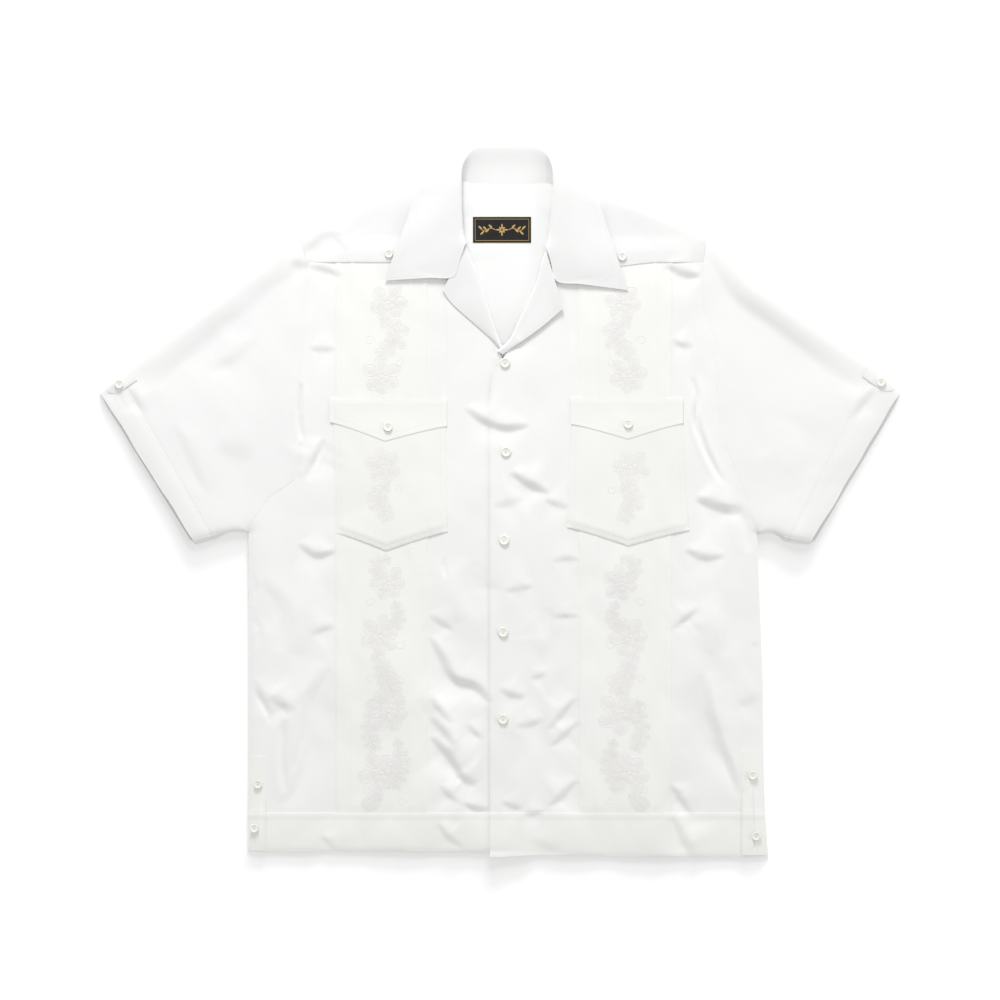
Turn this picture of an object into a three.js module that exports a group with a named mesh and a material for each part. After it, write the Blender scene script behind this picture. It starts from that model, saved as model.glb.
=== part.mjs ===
// Short-sleeved camp shirt of guayabera cut, laid flat on its back with its front up.
// Millimetres. +X to the viewer's right, +Y towards the collar, +Z up out of the front.
// The origin is the middle of the outline, on the surface that the shirt lies on.
// "left" and "right" are as seen from above.
import * as THREE from 'three';

// ---- driving dimensions -------------------------------------------------------------------
const WALL = 1.0;            // wall of one cloth layer
const GAP = 0.3;             // clearance at a seam and between two layers
const LAYER = WALL + GAP;    // one layer moved out
const EASE = 1.9;            // how far the front rises off the back away from the folded edges
const EASE_REACH = 26;       // how fast it rises
const HEM_SEAM_Y = -343;     // seam between the body and its hem band
const YOKE_EDGE_Y = 262;     // front edge of the yoke
const YOKE_TUCK_Y = 270;     // the front ends here, under the yoke
const BACK_YOKE_Y = 238;     // seam between back and back yoke
const BREAK_Y = 163;         // where the lapels begin to turn out
const COLLAR_WALL = 1.0;
const ROLL_SET = 2.3;        // the front's edge stays this far behind the lapel's rolled edge
const TUCK_RISE = 0.8;       // height of a pin tuck
const SLEEVE_BACK_REACH = 4; // the sleeve band's back layer runs this far past the front one
const BUTTON = { front: 5.5, flap: 5.0, yoke: 4.6, sleeve: 4.8, vent: 4.8, thick: 2.2, sides: 12 };

// ---- body outline, one row for each section from the hem seam up --------------------------
// left, right: the outline.  under, over: centre edge of the left front and of the right front.
const BODY = [
  { y: -343, left: -277.3, right: 291.3, under: 18.5, over: -11.3 },
  { y: -298, left: -277.1, right: 289.8, under: 18.5, over: -11.3 },
  { y: -250, left: -277.0, right: 289.2, under: 18.5, over: -11.3 },
  { y: -200, left: -276.9, right: 288.6, under: 18.5, over: -11.3 },
  { y: -145, left: -276.7, right: 286.6, under: 18.5, over: -11.3 },
  { y: -90, left: -276.5, right: 284.4, under: 18.5, over: -11.3 },
  { y: -36, left: -276.4, right: 281.8, under: 18.5, over: -11.3 },
  { y: -12, left: -264.0, right: 273.0, under: 18.5, over: -11.3 },
  { y: 3, left: -253.0, right: 269.5, under: 18.5, over: -11.3 },
  { y: 25, left: -224.0, right: 261.0, under: 18.5, over: -11.3 },
  { y: 72, left: -221.4, right: 243.5, under: 18.5, over: -11.3 },
  { y: 112, left: -221.4, right: 240.5, under: 17.5, over: -11.0 },
  { y: 137, left: -220.4, right: 238.8, under: 11.0, over: -8.5 },
  { y: 163, left: -219.0, right: 237.0, under: -0.5, over: 7.5 },
  { y: 205, left: -216.0, right: 226.0, under: -13.0, over: 26.2 },
  { y: 245, left: -213.5, right: 223.2, under: -25.7, over: 43.6 },
  { y: 262, left: -213.0, right: 223.0, under: -32.5, over: 47.0 },
  { y: 270, left: -213.8, right: 223.8, under: -35.3, over: 50.0 },
];
const ARM_TOP = { left: [-220.3, 295.0], right: [227.4, 293.0] };   // armhole meets the shoulder
// hem line: y at a few stations across, for the fronts and for the back behind them
const HEM = [
  { x: -277.5, front: -386.0, back: -383.5 }, { x: -184, front: -384.6, back: -382.5 },
  { x: -11.4, front: -385.8, back: -383.5 }, { x: 18.5, front: -386.0, back: -385.0 },
  { x: 130, front: -391.0, back: -388.0 }, { x: 295.2, front: -391.9, back: -389.5 },
];
const HEM_OVER = -391.6;     // the lapping front hangs this low at the centre
const HEM_SIDE = { left: -277.6, right: 295.0 };

// ---- sleeves: one row for each section from the armhole to the band seam -------------------
// over: the folded top edge.  arm: the underarm.
const SLEEVE = {
  left: [
    { s: 0.00, overX: -220.3, overY: 295.0, armX: -276.4, armY: -36.0 },
    { s: 0.12, overX: -247.8, overY: 275.6, armX: -282.0, armY: -35.2 },
    { s: 0.28, overX: -280.0, overY: 250.5, armX: -289.0, armY: -34.7 },
    { s: 0.46, overX: -314.0, overY: 224.0, armX: -297.0, armY: -35.3 },
    { s: 0.64, overX: -349.5, overY: 196.0, armX: -304.0, armY: -36.2 },
    { s: 0.82, overX: -385.0, overY: 167.5, armX: -310.0, armY: -37.2 },
    { s: 1.00, overX: -419.0, overY: 138.6, armX: -316.5, armY: -38.8 },
  ],
  right: [
    { s: 0.00, overX: 227.4, overY: 293.0, armX: 281.8, armY: -36.0 },
    { s: 0.12, overX: 257.0, overY: 269.0, armX: 287.0, armY: -37.0 },
    { s: 0.28, overX: 287.0, overY: 244.8, armX: 293.0, armY: -36.4 },
    { s: 0.46, overX: 318.5, overY: 219.0, armX: 299.0, armY: -36.0 },
    { s: 0.64, overX: 350.0, overY: 193.8, armX: 305.0, armY: -37.2 },
    { s: 0.82, overX: 383.0, overY: 168.8, armX: 311.0, armY: -39.6 },
    { s: 1.00, overX: 414.5, overY: 146.0, armX: 316.5, armY: -41.5 },
  ],
};
const SLEEVE_BAND = {
  left: [
    { overX: -419.3, overY: 138.4, armX: -316.8, armY: -38.9 },
    { overX: -431.5, overY: 129.2, armX: -326.5, armY: -41.6 },
    { overX: -439.6, overY: 119.0, armX: -336.9, armY: -44.8 },
  ],
  right: [
    { overX: 414.8, overY: 145.8, armX: 316.8, armY: -41.6 },
    { overX: 428.7, overY: 133.0, armX: 329.5, armY: -43.5 },
    { overX: 439.6, overY: 119.0, armX: 341.8, armY: -44.8 },
  ],
};

// ---- columns that the fronts share with what lies on them ---------------------------------
const COLUMNS = {
  left: { outer: -188, strip: [-182, -156, -130, -104, -80], pocket: -59 },
  right: { outer: 202, strip: [190, 164, 138, 112, 85.5], pocket: 77 },
};
// pin tucks across a strip, as shares of its width, with how high each column stands
const TUCKS = [
  { at: 0.00, rise: 0 }, { at: 0.04, rise: 1 }, { at: 0.08, rise: 0 }, { at: 0.15, rise: 0 },
  { at: 0.19, rise: 1 }, { at: 0.24, rise: 0 }, { at: 0.50, rise: 0 }, { at: 0.76, rise: 0 },
  { at: 0.81, rise: 1 }, { at: 0.85, rise: 0 }, { at: 0.92, rise: 0 }, { at: 0.96, rise: 1 },
  { at: 1.00, rise: 0 },
];
const STRIP = { left: { x0: -181.8, x1: -79.5 }, right: { x0: 85.5, x1: 190.0 }, top: 266 };

// ---- patch pockets and flaps: outer and inner side, point at the middle --------------------
const POCKET = {
  left: { top: 104, xTop: [-184.5, -59.8], xLow: [-180, -57.5], low: [-35.5, -33.8], point: [-125.7, -55.0] },
  right: { top: 104, xTop: [78.5, 199.0], xLow: [73.4, 208.0], low: [-29.2, -32.5], point: [140.5, -49.6] },
};
const FLAP = {
  left: { top: 112, x: [-187.3, -58.6], low: [86.4, 82.0], point: [-126.8, 65.5] },
  right: { top: 112.4, x: [77.8, 201.0], low: [84.2, 85.2], point: [140.5, 67.7] },
};

// ---- collar: one row for each section from the left front end, round the neck, to the right
// seam: foot of the stand.  roll: where the cloth turns over.  mid, edge: the fall.
const COLLAR = [
  { seamX: -42.5, seamY: 285.5, seamZ: 4.7, rollX: -37.5, rollY: 284, rollZ: 7.0, midX: -86, midY: 243.6, midZ: 9.3, edgeX: -126.6, edgeY: 241.6, edgeZ: 8.8 },
  { seamX: -47.5, seamY: 295, seamZ: 4.7, rollX: -40.2, rollY: 294, rollZ: 7.2, midX: -86, midY: 259, midZ: 9.5, edgeX: -121.4, edgeY: 257, edgeZ: 8.8 },
  { seamX: -50.5, seamY: 310, seamZ: 4.8, rollX: -41.8, rollY: 310, rollZ: 7.6, midX: -82, midY: 283, midZ: 9.6, edgeX: -113.5, edgeY: 279.5, edgeZ: 8.8 },
  { seamX: -52, seamY: 329, seamZ: 4.8, rollX: -42.4, rollY: 330, rollZ: 8.2, midX: -77, midY: 309, midZ: 9.6, edgeX: -104, edgeY: 306, edgeZ: 7.9 },
  { seamX: -51.5, seamY: 346, seamZ: 4.2, rollX: -42.6, rollY: 349, rollZ: 8.8, midX: -72, midY: 334, midZ: 8.8, edgeX: -95.6, edgeY: 330.5, edgeZ: 7.0 },
  { seamX: -47, seamY: 354.5, seamZ: 3.2, rollX: -42.0, rollY: 366, rollZ: 9.6, midX: -68, midY: 355, midZ: 7.4, edgeX: -89.6, edgeY: 348, edgeZ: 5.6 },
  { seamX: -39, seamY: 353.5, seamZ: 2.4, rollX: -36.5, rollY: 379, rollZ: 9.6, midX: -61.5, midY: 374.5, midZ: 3.4, edgeX: -86.0, edgeY: 357.6, edgeZ: 2.4 },
  { seamX: -30, seamY: 350.5, seamZ: 2.1, rollX: -30.0, rollY: 387.6, rollZ: 8.4, midX: -49, midY: 373, midZ: 0.9, edgeX: -70, edgeY: 352, edgeZ: 0.5 },
  { seamX: -17, seamY: 348.6, seamZ: 1.9, rollX: -17.0, rollY: 390.7, rollZ: 6.6, midX: -27, midY: 366, midZ: 0.5, edgeX: -38, edgeY: 343.5, edgeZ: 0.5 },
  { seamX: 10, seamY: 348, seamZ: 1.8, rollX: 10, rollY: 391.2, rollZ: 6.0, midX: 10, midY: 364, midZ: 0.5, edgeX: 10, edgeY: 341, edgeZ: 0.5 },
  { seamX: 33, seamY: 348.6, seamZ: 1.9, rollX: 33, rollY: 390.6, rollZ: 6.6, midX: 44, midY: 364, midZ: 0.5, edgeX: 55, edgeY: 341, edgeZ: 0.5 },
  { seamX: 45, seamY: 350.5, seamZ: 2.1, rollX: 45, rollY: 387.0, rollZ: 8.4, midX: 64, midY: 367, midZ: 0.9, edgeX: 87, edgeY: 343, edgeZ: 0.5 },
  { seamX: 54, seamY: 352, seamZ: 2.4, rollX: 52.5, rollY: 379, rollZ: 9.6, midX: 76, midY: 368.5, midZ: 3.8, edgeX: 104.2, edgeY: 343.2, edgeZ: 3.2 },
  { seamX: 62, seamY: 349, seamZ: 3.2, rollX: 57.2, rollY: 364, rollZ: 9.6, midX: 84, midY: 347, midZ: 7.8, edgeX: 108, edgeY: 331, edgeZ: 6.5 },
  { seamX: 67, seamY: 338, seamZ: 4.2, rollX: 58, rollY: 346, rollZ: 8.8, midX: 88, midY: 325, midZ: 8.9, edgeX: 113, edgeY: 315, edgeZ: 7.4 },
  { seamX: 67, seamY: 323, seamZ: 4.8, rollX: 56.8, rollY: 328, rollZ: 8.2, midX: 92, midY: 300, midZ: 9.6, edgeX: 119.4, edgeY: 295.5, edgeZ: 7.9 },
  { seamX: 65, seamY: 306, seamZ: 4.8, rollX: 55.6, rollY: 309, rollZ: 7.6, midX: 95, midY: 274, midZ: 9.6, edgeX: 127, edgeY: 271, edgeZ: 8.8 },
  { seamX: 61, seamY: 290, seamZ: 4.7, rollX: 53.4, rollY: 292, rollZ: 7.2, midX: 98, midY: 252, midZ: 9.5, edgeX: 134.6, edgeY: 249, edgeZ: 8.8 },
  { seamX: 56, seamY: 279, seamZ: 4.7, rollX: 50.4, rollY: 279.5, rollZ: 7.0, midX: 99, midY: 236.8, midZ: 9.3, edgeX: 140.5, edgeY: 231.0, edgeZ: 8.8 },
];
const GORGE = { left: [-50.9, 246.2], right: [61.3, 241.5] };   // where collar and lapel part

// ---- lapels: one row for each section from the gorge down to the break ---------------------
const LAPEL = {
  left: [
    { rollX: -38.0, rollY: 280, edgeX: -63.0, edgeY: 231.5 },
    { rollX: -31.0, rollY: 264, edgeX: -58.5, edgeY: 223.5 },
    { rollX: -23.4, rollY: 245, edgeX: -51.0, edgeY: 214.6 },
    { rollX: -15.0, rollY: 219, edgeX: -37.5, edgeY: 202.5 },
    { rollX: -6.5, rollY: 193, edgeX: -21.5, edgeY: 188.5 },
    { rollX: 0.5, rollY: 172, edgeX: -8.0, edgeY: 176.0 },
  ],
  right: [
    { rollX: 50.2, rollY: 275, edgeX: 69.0, edgeY: 211.0 },
    { rollX: 44.6, rollY: 260, edgeX: 64.0, edgeY: 206.6 },
    { rollX: 41.4, rollY: 245, edgeX: 56.5, edgeY: 200.0 },
    { rollX: 32.0, rollY: 222, edgeX: 44.5, edgeY: 190.0 },
    { rollX: 20.0, rollY: 197, edgeX: 29.5, edgeY: 179.0 },
    { rollX: 9.5, rollY: 176, edgeX: 17.5, edgeY: 171.0 },
  ],
};

// ---- largest folds of the laid cloth: a soft ridge or trough along a line ------------------
const FOLDS = [
  { x0: 237, y0: 281, x1: 319, y1: 182, width: 20, rise: -1.0 },
  { x0: 255, y0: 240, x1: 395, y1: 125, width: 26, rise: 0.9 },
  { x0: 212, y0: 140, x1: 240, y1: 22, width: 15, rise: -0.9 },
  { x0: 229, y0: -190, x1: 262, y1: -318, width: 18, rise: -1.0 },
  { x0: 252, y0: -150, x1: 272, y1: -300, width: 18, rise: 0.8 },
  { x0: 193, y0: -345, x1: 211, y1: -392, width: 14, rise: -0.8 },
  { x0: -212, y0: 258, x1: -176, y1: 246, width: 16, rise: 0.9 },
  { x0: -243, y0: -230, x1: -237, y1: -315, width: 16, rise: -0.9 },
  { x0: -200, y0: -185, x1: -224, y1: -304, width: 17, rise: 0.9 },
  { x0: -62, y0: -156, x1: -11, y1: -218, width: 18, rise: -0.8 },
  { x0: -66, y0: -242, x1: -36, y1: -307, width: 18, rise: 0.8 },
  { x0: -40, y0: 98, x1: 38, y1: 84, width: 18, rise: -0.7 },
  { x0: -224, y0: -48, x1: -186, y1: -62, width: 16, rise: 0.8 },
  { x0: -290, y0: 215, x1: -400, y1: 120, width: 26, rise: 0.9 },
  { x0: -330, y0: 60, x1: -262, y1: 40, width: 22, rise: -0.8 },
  { x0: 330, y0: 70, x1: 268, y1: 45, width: 22, rise: -0.8 },
];

// ---- small helpers -------------------------------------------------------------------------
const mix = (a, b, t) => a + (b - a) * t;
const clamp01 = (t) => Math.min(1, Math.max(0, t));
const smooth = (t) => { const c = clamp01(t); return c * c * (3 - 2 * c); };
function column(rows, key, at, value) {              // value of a table's column at a place
  const up = rows[rows.length - 1][key] > rows[0][key] ? rows : [...rows].reverse();
  if (at <= up[0][key]) return up[0][value];
  for (let i = 1; i < up.length; i++) {
    if (at <= up[i][key]) return mix(up[i - 1][value], up[i][value], (at - up[i - 1][key]) / (up[i][key] - up[i - 1][key]));
  }
  return up[up.length - 1][value];
}
function toSegment(x, y, a, b) {                     // distance from a point to a stretch of line
  const dx = b[0] - a[0], dy = b[1] - a[1];
  const t = clamp01(((x - a[0]) * dx + (y - a[1]) * dy) / (dx * dx + dy * dy));
  return Math.hypot(x - a[0] - t * dx, y - a[1] - t * dy);
}

// folded and seamed edges of the outline, where the front comes down to the back
const NECK_POINT = { left: [-49, 370], right: [66, 360] };
const EDGES = [];
for (const side of ['left', 'right']) {
  const s = SLEEVE[side], b = SLEEVE_BAND[side];
  const over = [...s.map((r) => [r.overX, r.overY]), ...b.map((r) => [r.overX, r.overY])];
  const arm = [...s.map((r) => [r.armX, r.armY]), ...b.map((r) => [r.armX, r.armY])];
  const flank = [[HEM_SIDE[side], -392], ...BODY.filter((r) => r.y <= -36).map((r) => [r[side], r.y])];
  const shoulder = [ARM_TOP[side], NECK_POINT[side]];
  for (const line of [over, arm, flank, shoulder]) {
    for (let i = 1; i < line.length; i++) EDGES.push([line[i - 1], line[i]]);
  }
}
// round the neck both layers rise over the collar's fall behind them
const neckLift = (x, y) => 1.7 * smooth((y - 300) / 26) * smooth((116 - Math.abs(x - 9)) / 18);
// underside of the front cloth, before anything is laid on it
function lie(x, y) {
  let d = Infinity;
  for (const [a, b] of EDGES) d = Math.min(d, toSegment(x, y, a, b));
  let z = EASE * (1 - Math.exp(-d / EASE_REACH));
  for (const f of FOLDS) {
    const r = toSegment(x, y, [f.x0, f.y0], [f.x1, f.y1]) / f.width;
    z += f.rise * Math.exp(-r * r) * (1 - Math.exp(-d / 12));
  }
  return WALL + GAP + Math.max(0, z);
}

// ---- bodies from grids and rings -----------------------------------------------------------
function solid(points, faces) {
  let volume = 0;
  for (const [a, b, c] of faces) {
    const [p, q, r] = [points[a], points[b], points[c]];
    volume += p[0] * (q[1] * r[2] - q[2] * r[1]) - p[1] * (q[0] * r[2] - q[2] * r[0]) + p[2] * (q[0] * r[1] - q[1] * r[0]);
  }
  const out = volume > 0 ? faces : faces.map(([a, b, c]) => [a, c, b]);
  const geometry = new THREE.BufferGeometry();
  geometry.setAttribute('position', new THREE.Float32BufferAttribute(points.flat(), 3));
  geometry.setIndex(out.flat());
  geometry.computeVertexNormals();
  return geometry;
}
// closes two grids of the same size, one over the other, into one wall
function wallBetween(low, high) {
  const rows = low.length, cols = low[0].length, n = rows * cols;
  const points = [...low.flat(), ...high.flat()], faces = [];
  const id = (r, c, top) => r * cols + c + (top ? n : 0);
  for (let r = 0; r + 1 < rows; r++) for (let c = 0; c + 1 < cols; c++) {
    faces.push([id(r, c, 1), id(r, c + 1, 1), id(r + 1, c + 1, 1)], [id(r, c, 1), id(r + 1, c + 1, 1), id(r + 1, c, 1)]);
    faces.push([id(r, c, 0), id(r + 1, c + 1, 0), id(r, c + 1, 0)], [id(r, c, 0), id(r + 1, c, 0), id(r + 1, c + 1, 0)]);
  }
  const rim = [];
  for (let c = 0; c < cols; c++) rim.push([0, c]);
  for (let r = 1; r < rows; r++) rim.push([r, cols - 1]);
  for (let c = cols - 2; c >= 0; c--) rim.push([rows - 1, c]);
  for (let r = rows - 2; r > 0; r--) rim.push([r, 0]);
  rim.forEach(([r, c], i) => {
    const [r2, c2] = rim[(i + 1) % rim.length];
    faces.push([id(r, c, 0), id(r2, c2, 0), id(r2, c2, 1)], [id(r, c, 0), id(r2, c2, 1), id(r, c, 1)]);
  });
  return solid(points, faces);
}
const panel = (grid, wall = WALL) => wallBetween(grid, grid.map((row) => row.map(([x, y, z]) => [x, y, z + wall])));
// a curved wall: the grid is its middle, the faces lie half a wall to each side
function shell(grid, wall) {
  const rows = grid.length, cols = grid[0].length;
  const normal = (r, c) => {
    const a = new THREE.Vector3(...grid[Math.min(r + 1, rows - 1)][c]).sub(new THREE.Vector3(...grid[Math.max(r - 1, 0)][c]));
    const b = new THREE.Vector3(...grid[r][Math.min(c + 1, cols - 1)]).sub(new THREE.Vector3(...grid[r][Math.max(c - 1, 0)]));
    return a.cross(b).normalize().multiplyScalar(wall / 2);
  };
  const moved = (k) => grid.map((row, r) => row.map((p, c) => { const n = normal(r, c); return [p[0] + k * n.x, p[1] + k * n.y, p[2] + k * n.z]; }));
  const up = (g) => g.map((row) => row.map(([x, y, z]) => [x, y, Math.max(z, 0)]));   // nothing goes below the surface it lies on
  return wallBetween(up(moved(-1)), up(moved(1)));
}
// a tube wall through rings, each an outer loop and an inner loop of as many points
function tube(rings) {
  const n = rings[0].outer.length, points = [], faces = [];
  for (const ring of rings) points.push(...ring.outer, ...ring.inner);
  const id = (j, k, inner) => j * 2 * n + (inner ? n : 0) + (k % n);
  for (let j = 0; j + 1 < rings.length; j++) for (let k = 0; k < n; k++) {
    faces.push([id(j, k, 0), id(j, k + 1, 0), id(j + 1, k + 1, 0)], [id(j, k, 0), id(j + 1, k + 1, 0), id(j + 1, k, 0)]);
    faces.push([id(j, k, 1), id(j + 1, k + 1, 1), id(j, k + 1, 1)], [id(j, k, 1), id(j + 1, k, 1), id(j + 1, k + 1, 1)]);
  }
  const last = rings.length - 1;
  for (let k = 0; k < n; k++) {
    faces.push([id(0, k, 0), id(0, k, 1), id(0, k + 1, 1)], [id(0, k, 0), id(0, k + 1, 1), id(0, k + 1, 0)]);
    faces.push([id(last, k, 0), id(last, k + 1, 1), id(last, k, 1)], [id(last, k, 0), id(last, k + 1, 0), id(last, k + 1, 1)]);
  }
  return solid(points, faces);
}
// height of a grid's own facets at a place, so that a layer laid on it follows those facets
function heightOn(grid, x, y) {
  let near = Infinity, height = 0;
  for (let r = 0; r + 1 < grid.length; r++) for (let c = 0; c + 1 < grid[0].length; c++) {
    const a = grid[r][c], b = grid[r][c + 1], d = grid[r + 1][c + 1], e = grid[r + 1][c];
    for (const [p, q, s] of [[a, b, d], [a, d, e]]) {
      const det = (q[1] - s[1]) * (p[0] - s[0]) + (s[0] - q[0]) * (p[1] - s[1]);
      const u = ((q[1] - s[1]) * (x - s[0]) + (s[0] - q[0]) * (y - s[1])) / det;
      const v = ((s[1] - p[1]) * (x - s[0]) + (p[0] - s[0]) * (y - s[1])) / det;
      const out = Math.max(0, -u, -v, u + v - 1);
      if (out < near) { near = out; height = u * p[2] + v * q[2] + (1 - u - v) * s[2]; }
    }
  }
  return height;
}

// ---- the cloth's colour ---------------------------------------------------------------------
const cloth = () => new THREE.MeshStandardMaterial({ color: 0xf3f2ed, roughness: 0.55, metalness: 0 });
const stitched = () => new THREE.MeshStandardMaterial({ color: 0xebe8e2, roughness: 0.5, metalness: 0 });
const woven = () => new THREE.MeshStandardMaterial({ color: 0x14130f, roughness: 0.7, metalness: 0 });
const pearl = () => new THREE.MeshStandardMaterial({ color: 0xf1f0e6, roughness: 0.25, metalness: 0 });
const shirt = new THREE.Group();
function add(name, geometry, material = cloth()) {
  const mesh = new THREE.Mesh(geometry, material);
  mesh.name = name;
  shirt.add(mesh);
  return mesh;
}

// ---- the two fronts ---------------------------------------------------------------------------
const SIGN = { left: -1, right: 1 };
const overlap = (x) => (LAYER + 0.15) * (1 - smooth((x - 24) / 30));   // the right front laps over
function frontX(side, row) {                                          // column places in one row
  const c = COLUMNS[side], edge = side === 'left' ? row.under : row.over;
  const outer = [0, 0.34, 0.67].map((t) => mix(row[side], c.outer, t));
  const inner = [0.36, 0.7, 1].map((t) => mix(c.pocket, edge, t));
  return [...outer, c.outer, ...c.strip, c.pocket, ...inner];
}
function frontPoint(side, x, y) {
  return [x, y, lie(x, y) + (side === 'right' && y < BREAK_Y + 5 ? overlap(x) * smooth((BREAK_Y + 5 - y) / 30 + 0.4) : 0)];
}
const FRONT = {};
for (const side of ['left', 'right']) {
  FRONT[side] = BODY.map((row) => frontX(side, row).map((x) => frontPoint(side, x, row.y)));
  add(`front_${side}`, panel(FRONT[side]));
}

// ---- hem bands ----------------------------------------------------------------------------------
const hemRow = (side) => {
  const seam = BODY[0];
  return { y: HEM_SEAM_Y, left: HEM_SIDE.left, right: HEM_SIDE.right, under: seam.under, over: seam.over };
};
const HEMBAND = {};
for (const side of ['left', 'right']) {
  const top = frontX(side, BODY[0]), low = frontX(side, hemRow(side));
  HEMBAND[side] = [0, 0.5, 1].map((t) => top.map((x, i) => {
    const px = mix(low[i], x, t);
    let hem = column(HEM, 'x', low[i], 'front');
    if (side === 'right') hem = mix(HEM_OVER, hem, smooth((low[i] + 11) / 120));
    const py = mix(hem, HEM_SEAM_Y - GAP, t);
    return frontPoint(side, px, py);
  }));
  add(`front_hem_band_${side}`, panel(HEMBAND[side]));
}

// ---- strips with pin tucks ------------------------------------------------------------------------
for (const side of ['left', 'right']) {
  const { x0, x1 } = STRIP[side];
  const ys = [...BODY.map((r) => r.y).filter((y) => y < STRIP.top), STRIP.top];
  ys[0] += GAP;
  const place = (t) => mix(x0, x1, t);
  const low = ys.map((y) => TUCKS.map((k) => [place(k.at), y, heightOn(FRONT[side], place(k.at), y) + LAYER]));
  const high = low.map((row) => row.map(([x, y, z], i) => [x, y, z + WALL + TUCK_RISE * TUCKS[i].rise]));
  add(`tuck_strip_${side}`, wallBetween(low, high), stitched());
}

// ---- pockets and flaps -------------------------------------------------------------------------------
// lower edge of a pointed piece
const pointed = (x, xs, ys, point) => (x < point[0]
  ? mix(ys[0], point[1], clamp01((x - xs[0]) / (point[0] - xs[0])) ** 1.15)
  : mix(ys[1], point[1], clamp01((xs[1] - x) / (xs[1] - point[0])) ** 1.15));
for (const side of ['left', 'right']) {
  const p = POCKET[side], f = FLAP[side], tuckTop = LAYER + WALL + TUCK_RISE + GAP;
  const shares = [0, 0.14, 0.28, 0.42, 0.58, 0.72, 0.86, 1];
  const grid = [0, 0.1, 0.22, 0.36, 0.52, 0.68, 0.84, 1].map((t) => shares.map((s) => {
    const xl = mix(p.xLow[0], p.xLow[1], s), xt = mix(p.xTop[0], p.xTop[1], s);
    const x = mix(xl, xt, t), y = mix(pointed(xl, p.xLow, p.low, p.point), p.top, t);
    return [x, y, heightOn(FRONT[side], x, y) + tuckTop];
  }));
  add(`pocket_${side}`, panel(grid));
  const flap = [0, 0.35, 0.7, 1].map((t) => shares.map((s) => {
    const x = mix(f.x[0], f.x[1], s), y = mix(pointed(x, f.x, f.low, f.point), f.top, t);
    return [x, y, heightOn(FRONT[side], x, y) + tuckTop + LAYER + 0.1];
  }));
  add(`pocket_flap_${side}`, panel(flap));
}

// ---- yoke brought over the shoulder ---------------------------------------------------------------------
// Its front edge lies over the front and the strip, and sinks to the cloth's own level above them.
const YOKE_RAISE = 2 * LAYER + TUCK_RISE;
const YOKE = {
  left: { lowInner: -50.5, highInner: [-56, 365], crossing: -87 },
  right: { lowInner: 62, highInner: [70, 356], crossing: 104 },
};
function yokeShoulder(side, t) {                       // along the shoulder, armhole to neck
  const a = ARM_TOP[side], b = YOKE[side].highInner;
  const inset = 3.4 * smooth((t - 0.52) / 0.2);        // the collar's fall wraps round the shoulder here
  return [mix(a[0], b[0], t), mix(a[1], b[1], t) - inset];
}
for (const side of ['left', 'right']) {
  const low0 = column(BODY, 'y', YOKE_EDGE_Y, side);
  const grid = [0, 0.18, 0.36, 0.58, 0.8, 1].map((v) => [0, 0.1, 0.22, 0.35, 0.48, 0.6, 0.7, 0.8, 0.9, 1].map((u) => {
    const low = [mix(low0, YOKE[side].lowInner, u), YOKE_EDGE_Y], high = yokeShoulder(side, u);
    let x = mix(low[0], high[0], v), y = mix(low[1], high[1], v);
    const raise = YOKE_RAISE * (1 - smooth((y - YOKE_TUCK_Y - 2) / 20));
    return [x, y, lie(x, y) + Math.max(raise, neckLift(x, y) + 0.35 * smooth((y - 300) / 26))];
  }));
  add(`yoke_front_${side}`, panel(grid));
}

// ---- back, back yoke and back hem band, flat on the surface ------------------------------------------------
const across = [0, 0.08, 0.2, 0.35, 0.5, 0.65, 0.8, 0.92, 1];
const backRows = BODY.filter((r) => r.y < BACK_YOKE_Y);
backRows.push({ y: BACK_YOKE_Y, left: column(BODY, 'y', BACK_YOKE_Y, 'left'), right: column(BODY, 'y', BACK_YOKE_Y, 'right') });
add('back_body', panel(backRows.map((r) => across.map((t) => [mix(r.left, r.right, t), r.y, 0]))));
add('back_hem_band', panel([0, 0.5, 1].map((t) => across.map((s) => {
  const xl = mix(HEM_SIDE.left + 0.5, HEM_SIDE.right - 0.8, s), xt = mix(BODY[0].left, BODY[0].right, s);
  return [mix(xl, xt, t), mix(column(HEM, 'x', xl, 'back'), HEM_SEAM_Y - GAP, t), 0];
}))));
const BACKYOKE = [];
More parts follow.
